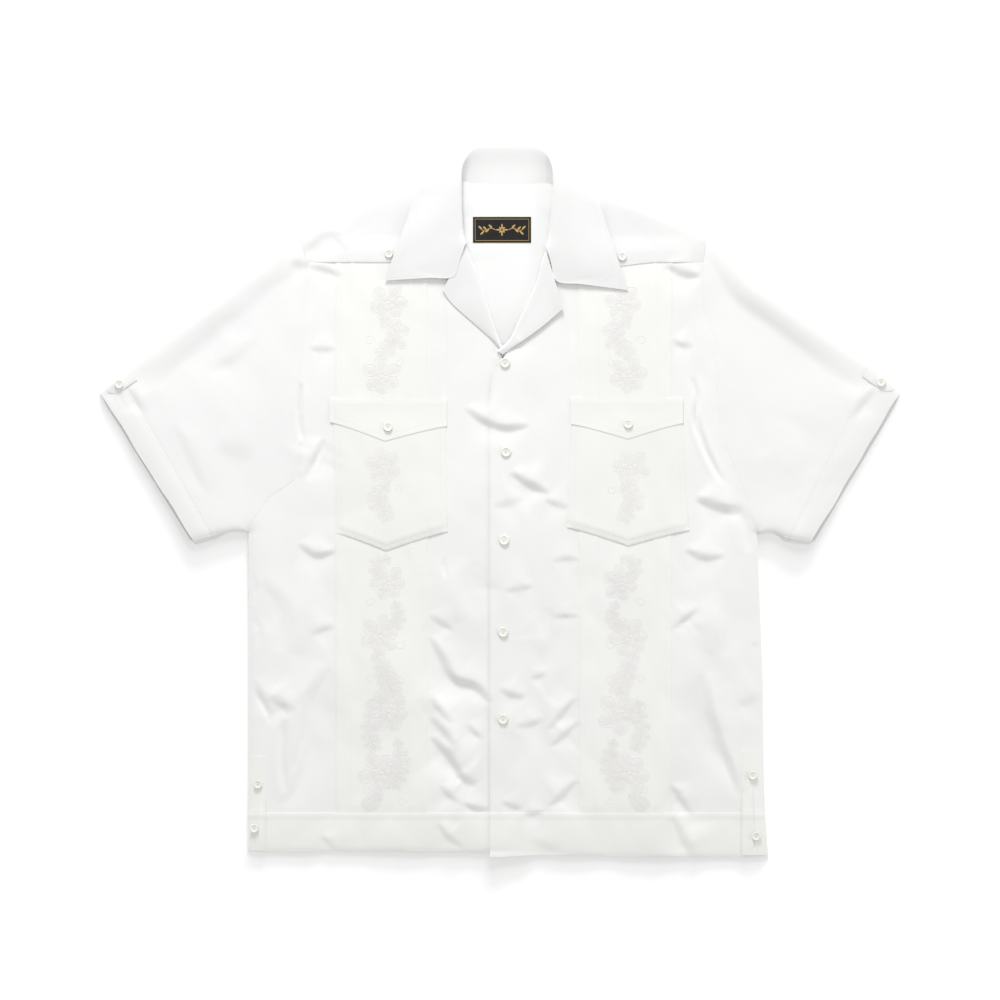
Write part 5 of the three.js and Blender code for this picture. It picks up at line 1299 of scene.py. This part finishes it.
last = len(COLLAR) - 1
coarse = np.array([collar_section(r, GORGE["left"] if i == 0 else GORGE["right"] if i == last else None) for i, r in enumerate(COLLAR)])
for i in range(last + 1):
    middle = abs(i - last / 2) / (last / 2)
    up = float(smooth((middle - 0.3) / 0.3))
    out = 1 - up
    coarse[i, 4, 2] += 1.7 * up; coarse[i, 2, 2] -= 0.9 * up
    coarse[i, 5, 2] += 1.6 * up
    coarse[i, 4, 2] -= 2.2 * out; coarse[i, 4, 1] += 1.2 * out
    coarse[i, 2, 2] += 0.7 * out
tuck = smooth((56 - np.abs(coarse[:, 0, 0] - 7)) / 10)
coarse[:, 0, 1] -= 4.6 * tuck
coarse[:, 0, 2] = mix(coarse[:, 0, 2], 1.15, tuck)
coarse[:, 1, 2] -= 0.5 * tuck
rails = np.stack([spline(coarse[:, c], 178) for c in range(coarse.shape[1])], 1)      # along the collar
grid = np.stack([spline(rails[i], 58) for i in range(len(rails))], 0)                 # across it
soft = np.linspace(0, 1, 58)[None]
lengthwise = np.linspace(0, 1, 178)[:, None]
grid[..., 2] += 0.35 * np.sin(lengthwise * 41 + soft * 3) * smooth((soft - 0.45) / 0.3) * smooth((1 - soft) / 0.2 + 0.2)
COLLAR_OB, normal = turned_shell("collar", grid, 0.85, [M["collar"], M["inside"]], rests=("cloth_yoke_front_left", "cloth_yoke_front_right", "cloth_back_yoke"))
if normal[20, 40, 2] < 0:
    normal = -normal
# the stand behind the neck takes the lighter inside material: painted light, lifting the shade on the stand
mid_ = np.zeros(len(COLLAR_OB.data.polygons) * 3, np.float32)
COLLAR_OB.data.polygons.foreach_get("center", mid_)
mid_ = mid_.reshape(-1, 3) / MM
COLLAR_OB.data.polygons.foreach_set("material_index", ((np.abs(mid_[:, 0] - 7) < 43) & (mid_[:, 1] > 340)).astype(np.int32))
for col in (54, 57 - 9):
    line = (grid + normal * 0.45)[3:-3, col]
    stitch("collar", line)
for r in (2, 178 - 3):
    stitch("collar", (grid + normal * 0.45)[r, 26:56])

# ---- lapels -----------------------------------------------------------------------------------------------------------------------------------------------------
PROFILE = np.array([(1.65, 0, 0.6), (0.5, 0, 1.0), (0.2, 0, 2.1), (2.2, 0, 3.1), (0, .4, 3.0), (0, .7, 2.6), (0, 1, 2.1)], float)
for side in ("left", "right"):
    table = LAPEL[side]
    n = 76
    at_row = np.linspace(0, len(table) - 1, n)
    key = np.column_stack([np.arange(len(table)), table])
    rx, ry, ex, ey = (rows(key, at_row, 0, k) for k in (1, 2, 3, 4))
    dx, dy = ex - rx, ey - ry
    ln = np.hypot(dx, dy)
    prof = []
    for out_, sh, z in PROFILE:
        d = np.where(sh > 0, sh * ln, out_)
        x, y = rx + dx / ln * d, ry + dy / ln * d
        base = lie(x, y) + z + (0.4 * smooth((190 - ry) / 8) if side == "right" else 0)
        base = base - (0.8 if side == "left" else 0.3) * smooth((sh - 0.5) / 0.5)
        base = base + (1.0 if side == "left" else 1.3) * smooth((0.30 - np.linspace(0, 1, n)) / 0.30) * smooth(sh / 0.3 + 0.3)
        prof.append(np.column_stack([x, y, base]))
    prof = np.stack(prof, 1)
    lap = np.stack([spline(prof[i], 34) for i in range(n)], 0)
    across_ = np.linspace(0, 1, 34)[None]
    tall = 1.3 if side == "right" else 0.1
    lap[..., 2] += tall * smooth((across_ - 0.55) / 0.45) * smooth(np.linspace(1, 0, n)[:, None] / 0.25)
    ob, nn = turned_shell(f"lapel_{side}", lap, 0.8, M["collar"], rests=(f"cloth_front_{side}",))
    if nn[10, 25, 2] < 0:
        nn = -nn
    stitch("collar", (lap + nn * 0.4)[2:-4, 31])
    stitch("collar", (lap + nn * 0.4)[3, 10:31])

# ---- vents ---------------------------------------------------------------------------------------------------------------------------------------------------------
for side in ("left", "right"):
    v = VENT[side]
    s = np.concatenate([np.linspace(0, 0.42, 10), np.linspace(0.45, 0.59, 10), np.linspace(0.62, 1, 9)])
    ys = np.arange(v["low"], v["top"] + 0.1, 1.6)
    S, Y = np.meshgrid(s, ys)
    X = mix(v["x0"], v["x1"], S)
    if side == "right":
        X = X + 3.4 * smooth((-300 - Y) / 90) * S
    base = np.maximum(front_under(side, X, Y) + CLOTH, np.where(Y < HEM_SEAM + 3, band_under(side, X, Y) + 0.5, 0))
    inner = S if side == "left" else 1 - S
    middle = -316 if side == "right" else -330
    open_ = smooth((middle - Y) / 10) * smooth((Y - v["low"] - 5) / 6)
    slit = open_ * (0.55 * np.exp(-((S - 0.52) / 0.16) ** 2) - 1.75 * np.exp(-((S - 0.52) / 0.032) ** 4))
    Z = base + 0.04 + 0.55 * smooth((-318 - Y) / 20) * inner ** 3 + slit
    panel(f"vent_placket_{side}", np.dstack([X, Y, Z]), M["hem"], wall=0.34, rests=(f"cloth_front_{side}", f"cloth_front_hem_band_{side}"))
    for j in (1, S.shape[1] - 2):
        stitch("hem", np.column_stack([X[1:-1, j], Y[1:-1, j], Z[1:-1, j] + 0.34]), radius=0.12)
    stitch("hem", np.column_stack([X[-2, 1:-1], Y[-2, 1:-1], Z[-2, 1:-1] + 0.34]), radius=0.12)

# centre front: edge stitching down the lapping front
yy = np.arange(HEM_SEAM + 2, 150, 2.5)
xx = centre_edge("right", yy) + 1.8
stitch("fronts", np.column_stack([xx, yy, front_top("right", xx, yy)]))


# ---- label ------------------------------------------------------------------------------------------------------------------------------------------------------------
def yoke_inside(x, y):
    return at(BACK, x, y) * smooth((300 - y) / 30) + np.maximum(neck_lift(x, y), 2.0 * at(NECK_IN, x, y)) + CLOTH


xs, ys = np.linspace(-30, 33.8, 60), np.linspace(283.4, 311.8, 30)
X, Y = np.meshgrid(xs, ys)
edge = np.minimum(np.minimum(X + 30, 33.8 - X), np.minimum(Y - 283.4, 311.8 - Y))
LABEL_Z = lambda x, y: yoke_inside(x, y) + 0.15 + 0.12 * np.sin(x / 7.0 + 1) * np.sin(y / 6.0)
panel("neck_label", np.dstack([X, Y, LABEL_Z(X, Y)]), M["label"], wall=0.4, rests=("cloth_back_yoke",))
label_top = lambda x, y: LABEL_Z(x, y) + 0.4
# narrow woven border and a small plain flourish of leaves round a star
border = np.array([(-27.6, 285.8), (31.4, 285.8), (31.4, 309.4), (-27.6, 309.4), (-27.6, 285.8)], float)
for k in range(4):
    ribbon("label", "gold", resample(border[k:k + 2], 2.0), 0.30, label_top, 0.12)
for k in range(8):
    a = math.radians(45 * k)
    tip = 7.0 if k % 2 == 0 else 4.4
    t = np.linspace(0, 1, 7)
    line = np.column_stack([1.9 + np.cos(a) * mix(0.8, tip, t), 297.6 + np.sin(a) * mix(0.8, tip, t)])
    ribbon("label", "gold", line, 1.15 * np.sin(np.pi * mix(0.08, 0.95, t)) ** 0.8, label_top, 0.16)
for sgn in (-1, 1):
    stem = spline([(1.9 + sgn * 7, 297.6), (1.9 + sgn * 13, 299.4), (1.9 + sgn * 18.5, 296.2), (1.9 + sgn * 23, 298.2)], 26)
    ribbon("label", "gold", stem, 0.50, label_top, 0.12)
    for k, (s_at, up_) in enumerate(((0.22, 1), (0.4, -1), (0.58, 1), (0.76, -1), (0.92, 1))):
        p = stem[int(s_at * 25)]
        t = np.linspace(0, 1, 7)
        line = np.column_stack([p[0] + sgn * 4.2 * t, p[1] + up_ * (5.6 * t - 1.4 * t * t)])
        ribbon("label", "gold", line, 1.3 * np.sin(np.pi * mix(0.08, 0.95, t)), label_top, 0.16)

# ---- stitched column: a trailing stem with open flowers, fern leaves and curls --------------------------------------------
def petal(cx, cy, angle, start, length, width, count=8, bend=0.0):
    a = math.radians(angle)
    t = np.linspace(0, 1, count)
    along = mix(start, start + length, t)
    off = bend * np.sin(np.pi * t)
    x = cx + np.cos(a) * along - np.sin(a) * off
    y = cy + np.sin(a) * along + np.cos(a) * off
    return np.column_stack([x, y]), width * np.sin(np.pi * mix(0.06, 0.94, t)) ** 0.75


def outline(group, tint, cx, cy, angle, start, length, width, half, lift, height, bend=0.0):
    """Stitched line round a petal, as two sides that meet at its tip."""
    k = 9
    up_, w = petal(0, 0, angle, start, length, width, k, bend)
    d = np.gradient(up_, axis=0)
    d /= np.linalg.norm(d, axis=1, keepdims=True) + 1e-9
    n = np.column_stack([-d[:, 1], d[:, 0]])
    w = w * np.sin(np.pi * np.linspace(0.02, 0.98, k)) ** 0.25
    for turn in (1, -1):
        ribbon(group, tint, up_ + turn * n * w[:, None] + [cx, cy], half, lift, height)


def bloom(group, cx, cy, lift, scale=1.0, turn=0.0, petals=6, height=0.16, seed=1):
    """Open flower seen a little from the side, in two rounds of uneven petals."""
    rng = np.random.default_rng(seed)
    r = scale
    for k in range(petals):
        a = turn + 360 / petals * (k + rng.uniform(-0.12, 0.12))
        far = 1 + 0.22 * math.sin(math.radians(a - turn + 40)) + rng.uniform(-0.08, 0.08)
        line, w = petal(cx, cy, a, 7.0 * r, 14.0 * r * far, 6.8 * r, 9, bend=1.6 * r)
        ribbon(group, "satin_rose" if k % 3 else "satin_sand", line, w, lift, height * 0.6)
        outline(group, "satin_sage", cx, cy, a, 6.6 * r, 14.8 * r * far, 7.1 * r, 0.42, lift, height * 1.1, bend=1.6 * r)
        for shift in (-0.35, 0.3):
            mid, w = petal(cx, cy, a + 14 * shift, 9.5 * r, (7.5 + 2 * shift) * r * far, 0.42, 6, bend=1.6 * r + shift)
            ribbon(group, "satin_sage", mid, w, lift, height)
    for k in range(petals - 1):
        a = turn + 25 + 360 / (petals - 1) * (k + rng.uniform(-0.1, 0.1))
        line, w = petal(cx, cy, a, 1.6 * r, 8.2 * r, 4.0 * r, 7, bend=0.9)
        ribbon(group, "satin_sand" if k % 2 else "satin_rose", line, w, lift, height * 1.15)
        outline(group, "satin_sage", cx, cy, a, 1.6 * r, 8.6 * r, 4.1 * r, 0.36, lift, height * 1.5, bend=0.9)
    t = np.linspace(-1, 1, 7)
    ribbon(group, "satin_sand", np.column_stack([cx + t * 2.2 * r, cy + 0 * t]), 2.2 * r * np.sqrt(np.clip(1.03 - t * t, 0.02, 1)), lift, height * 1.8)


def leaf(group, x, y, angle, length, width, lift, height=0.13, bend=0.0, tint="satin_rose"):
    line, w = petal(x, y, angle, 0, length, width, 7, bend)
    ribbon(group, tint, line, w, lift, height * 0.6)
    outline(group, "satin_sage", x, y, angle, -0.3, length + 0.9, width + 0.2, 0.38, lift, height * 1.1, bend)
    line, w = petal(x, y, angle, 1.5, length * 0.75, 0.38, 5, bend * 0.9)
    ribbon(group, "satin_sage", line, w, lift, height * 1.1)


def fern(group, points, lift, size=1.0, start=0, tint="satin_rose"):
    """Stem with leaves to both sides, larger in the middle of its length."""
    stem = spline(points, 40)
    ribbon(group, "satin_sage", stem, 0.5, lift, 0.15)
    d = np.gradient(stem, axis=0)
    for k, i in enumerate(range(3, 38, 6)):
        share = i / 39
        big = size * (0.72 + 0.72 * math.sin(math.pi * share))
        heading = math.degrees(math.atan2(d[i, 1], d[i, 0]))
        for sgn in (-1, 1):
            leaf(group, stem[i, 0], stem[i, 1], heading + sgn * (48 + 6 * math.sin(k + start)), 12.0 * big, 3.9 * big, lift,
                 bend=-sgn * 1.8 * big, tint=tint if (k + start) % 3 else "satin_sand")


def curl(group, cx, cy, radius, begin, turn, lift):
    """Thin tendril that rolls in."""
    a = np.radians(begin + np.linspace(0, turn, 26))
    r = radius * np.linspace(1, 0.38, 26)
    ribbon(group, "satin_sage", np.column_stack([cx + r * np.cos(a), cy + r * np.sin(a)]), 0.42, lift, 0.14)


for side in ("left", "right"):
    cx = COLUMN_X[side]
    m = 1 if side == "left" else -1
    on_strip = lambda x, y, side=side: strip_top(side, x, y)
    on_pocket = lambda x, y, side=side: pocket_top(side, x, y)
    g = f"strip_{side}"
    for k, (dx, cy, size) in enumerate(((3, 217, 0.98), (-4, 136, 0.98), (4, -92, 0.92), (-5, -150, 1.04), (4, -232, 1.16), (-4, -300, 1.12))):
        bloom(g, cx + m * dx, cy, on_strip, size, 25 * k + (0 if m > 0 else 40), seed=60 + k + (0 if m > 0 else 20))
    for k, (ax, ay, bx, by, qx, qy, size) in enumerate(((-8, 202, 12, 184, -6, 158, 1.0), (8, -62, -8, -70, -6, -84, 0.7), (10, -108, 14, -128, 4, -142, 0.75),
                                                        (-12, -162, -2, -186, 10, -214, 1.05), (-12, -214, -18, -250, -10, -276, 0.75),
                                                        (12, -258, 17, -286, 10, -318, 0.85), (-2, -322, -12, -330, -20, -336, 0.7))):
        fern(g, [(cx + m * ax, ay), (cx + m * bx, by), (cx + m * qx, qy)], on_strip, size, start=k)
    for k, (dx, cy, rad, begin, turn) in enumerate(((19, 192, 5, 200, 300), (-17, 176, 6, -20, 400), (15, 152, 5.5, 90, -380), (-16, -112, 5.5, 0, 400),
                                                    (16, -158, 6, 60, -400), (-16, -196, 5.5, 0, 400), (17, -198, 5.5, 180, -380),
                                                    (-18, -226, 5, 90, 380), (-19, -318, 5.5, 90, 400), (18, -330, 5, 20, -380))):
        curl(g, cx + m * dx, cy, rad, begin if m > 0 else 180 - begin, turn * m, on_strip)
    bloom(f"pocket_{side}", cx + 1.5 - m * 3, 36, on_pocket, 0.96, 10 + 30 * m, height=0.11, seed=91 + m)
    fern(f"pocket_{side}", [(cx + m * 6, 22), (cx - m * 6, 4), (cx + m * 3, -22)], on_pocket, 0.95, tint="satin_sand")
    curl(f"pocket_{side}", cx + m * 16, 12, 5.5, 40, 400 * m, on_pocket)
    curl(f"pocket_{side}", cx - m * 16, -4, 5.5, 140, -400 * m, on_pocket)
emit_ribbons({"strip_left": "embroidery_strip_left", "strip_right": "embroidery_strip_right",
              "pocket_left": "embroidery_pocket_left", "pocket_right": "embroidery_pocket_right", "label": "label_border"})


# ---- buttons ---------------------------------------------------------------------------------------------------------------------------------------------------------------
def placket_top(side, x, y):
    base = np.maximum(front_under(side, x, y) + CLOTH, np.where(y < HEM_SEAM + 3, band_under(side, x, y) + 0.5, 0))
    return base + 0.12 + 0.4 + 0.3


def under_button(name, x, y):
    side = "left" if "left" in name else "right"
    if "front" in name:
        return front_top("right", x, y)
    if "flap" in name:
        return flap_top(side, x, y)
    if "yoke" in name:
        return yoke_under(x, y) + CLOTH
    if "sleeve" in name:
        return lie(x, y) + CLOTH + 0.66 + 0.2 + 0.45
    return placket_top(side, x, y)


for name, (bx, by, rad) in BUTTONS.items():
    ring_n = 44
    # radius share, height: rim, dished middle
    prof = [(0.0, 1.30), (0.16, 1.28), (0.30, 1.27), (0.46, 1.30), (0.58, 1.40), (0.66, 1.62), (0.74, 1.86), (0.84, 1.98),
            (0.93, 1.86), (0.985, 1.55), (1.0, 1.15), (0.96, 0.6), (0.84, 0.3), (0.5, 0.22), (0.0, 0.2)]
    ang = np.linspace(0, 2 * np.pi, ring_n, endpoint=False)
    fine_r = [0.0, 0.05, 0.10, 0.15, 0.19, 0.23, 0.27, 0.31, 0.36, 0.42, 0.5]
    rr = fine_r + [p[0] for p in prof if p[0] > 0.5][:9] + [0.96, 0.84, 0.5]
    zz = list(np.interp(fine_r, [0, .16, .3, .46, .58], [1.3, 1.28, 1.27, 1.3, 1.4])) + [p[1] for p in prof if p[0] > 0.5][:9] + [0.6, 0.3, 0.22]
    cloth_z = max(float(under_button(name, bx + k * rad * 0.9 * math.cos(t), by + k * rad * 0.9 * math.sin(t))) for k in (0, 1) for t in np.linspace(0, 6.28, 9))
    verts, holes = [], [(0.21 * math.cos(a), 0.21 * math.sin(a)) for a in np.radians([45, 135, 225, 315])]
    rng = np.random.default_rng(len(name) * 7 + int(abs(by)))
    spin = rng.uniform(-0.5, 0.5)
    tilt = rng.uniform(-0.05, 0.05, 2)
    for r_, z_ in zip(rr[1:], zz[1:]):
        for a in ang:
            x, y = r_ * math.cos(a), r_ * math.sin(a)
            z = z_
            if z_ > 1.1 and r_ < 0.4:
                for hx, hy in holes:
                    z -= 0.7 * math.exp(-(((x - hx) ** 2 + (y - hy) ** 2) / 0.062 ** 2) ** 1.5)
            verts.append((x * rad, y * rad, z))
    verts = [(0, 0, zz[0])] + verts + [(0, 0, 0.2)]
    verts = np.array(verts, float)
    c, s = math.cos(spin), math.sin(spin)
    flat = verts.copy()
    verts[:, 0], verts[:, 1] = flat[:, 0] * c - flat[:, 1] * s, flat[:, 0] * s + flat[:, 1] * c
    verts[:, 2] += verts[:, 0] * tilt[0] + verts[:, 1] * tilt[1] + cloth_z + 0.15
    verts[:, 0] += bx; verts[:, 1] += by
    m = len(rr) - 1
    idx = 1 + np.arange(m * ring_n).reshape(m, ring_n)
    nxt = np.roll(idx, -1, 1)
    quads = np.stack([idx[:-1], idx[1:], nxt[1:], nxt[:-1]], -1).reshape(-1, 4)
    tris = [(0, idx[0, k], nxt[0, k]) for k in range(ring_n)] + [(len(verts) - 1, nxt[-1, k], idx[-1, k]) for k in range(ring_n)]
    ob = build("pearl_" + name, verts, quads, tris, M["pearl"], sharp=0)
    keep(ob, name)
    # thread through the four holes
    top_z = cloth_z + 0.15 + 1.42
    q = [(hx * rad * 1.0, hy * rad * 1.0) for hx, hy in holes]
    for a_, b_ in ((0, 1), (3, 2)):
        for k in (-0.16, 0.16):
            ends = []
            for (hx, hy) in (q[a_], q[b_]):
                px, py = hx * c - hy * s, hx * s + hy * c
                ends.append((bx + px, by + py + k, top_z))
            STITCHES.setdefault("buttons", []).append((np.array([ends[0]]), np.array([ends[1]]), np.array([0.2])))
    # buttonhole: a slim frame of bar stitches beside the button
    if "front" in name or "flap" in name:
        half = rad + 1.6
        for sx in (-1, 1):
            pts = np.array([(bx + sx * 0.9, by + t, 0) for t in np.linspace(-half, half, 14)], float)
            if "front" in name:
                pts = np.array([(bx + t, by + sx * 0.9, 0) for t in np.linspace(-half, half, 14)], float)
            pts[:, 2] = under_button(name, pts[:, 0], pts[:, 1])
            stitch("buttons", pts, pitch=1.5, length=1.7, radius=0.28)
emit_stitches()

# ---- floor, light, camera ----------------------------------------------------------------------------------------------------------------------------------------------------------
bpy.ops.mesh.primitive_plane_add(size=14, location=(0, 0, -0.0002))
floor = bpy.context.object
floor.name = "floor"
mat = bpy.data.materials.new("floor_white")
mat.use_nodes = True
bsdf = mat.node_tree.nodes["Principled BSDF"]
bsdf.inputs["Base Color"].default_value = (0.90, 0.90, 0.90, 1)
bsdf.inputs["Roughness"].default_value = 0.9
bsdf.inputs["Specular IOR Level"].default_value = 0.0
bsdf.inputs["Emission Color"].default_value = (1, 1, 1, 1)
bsdf.inputs["Emission Strength"].default_value = 0.18
floor.data.materials.append(mat)

world = bpy.data.worlds.new("studio")
bpy.context.scene.world = world
world.use_nodes = True
world.node_tree.nodes["Background"].inputs["Color"].default_value = (1.0, 0.998, 0.994, 1)
world.node_tree.nodes["Background"].inputs["Strength"].default_value = 0.662


def area_light(name, place, aim, size, power):
    data = bpy.data.lights.new(name, "AREA")
    data.shape, data.size, data.energy = "SQUARE", size, power
    ob = bpy.data.objects.new(name, data)
    bpy.context.scene.collection.objects.link(ob)
    ob.location = place
    d = [aim[k] - place[k] for k in range(3)]
    yaw = math.atan2(d[1], d[0])
    ob.rotation_euler = (math.acos(-d[2] / math.sqrt(sum(v * v for v in d))), 0, yaw - math.pi / 2)
    return ob


def only(light, name, state):
    """Lets a light reach just the floor, or all but the floor."""
    group = bpy.data.collections.new(name)
    group.objects.link(floor)
    group.collection_objects[0].light_linking.link_state = state
    light.light_linking.receiver_collection = group


key = area_light("key", (-0.35, 2.6, 1.25), (0, 0.0, 0), 0.75, 58)
side_fill = area_light("side", (4.4, -0.2, 1.6), (0.1, -0.1, 0), 1.0, 27)
low = area_light("floor_low", (1.9, 14.0, 2.2), (0, 0, 0), 8.0, 2250)
low.data.shape, low.data.size, low.data.size_y = "RECTANGLE", 6.0, 1.2
high = area_light("floor_high", (1.8, 10.0, 3.7), (0, 0, 0), 5.0, 540)
high.data.shape, high.data.size, high.data.size_y = "RECTANGLE", 5.0, 3.0
only(key, "key_receivers", "EXCLUDE")
only(side_fill, "side_receivers", "EXCLUDE")
only(low, "floor_low_receivers", "INCLUDE")
only(high, "floor_high_receivers", "INCLUDE")

cam = bpy.data.cameras.new("camera")
cam.type = "PERSP"
cam.sensor_fit, cam.sensor_width = "HORIZONTAL", 36.0
cam.lens = 36.0 * 6.0 / 1.1
cam.clip_end = 50
camera = bpy.data.objects.new("camera", cam)
camera.location = (-0.000275, 0.00055, 6.0)
bpy.context.scene.collection.objects.link(camera)
bpy.context.scene.camera = camera
bpy.context.scene.view_settings.view_transform = "Standard"
bpy.context.scene.view_settings.look = "None"
bpy.context.scene.view_settings.exposure = 0
bpy.context.scene.view_settings.gamma = 1

# ---- cut of every cloth piece -----------------------------------------------------------------------------------------------------------------------------------------------------------
for name, ((wide, long), area, rests) in SHEETS.items():
    wide, long = wide * MM, long * MM
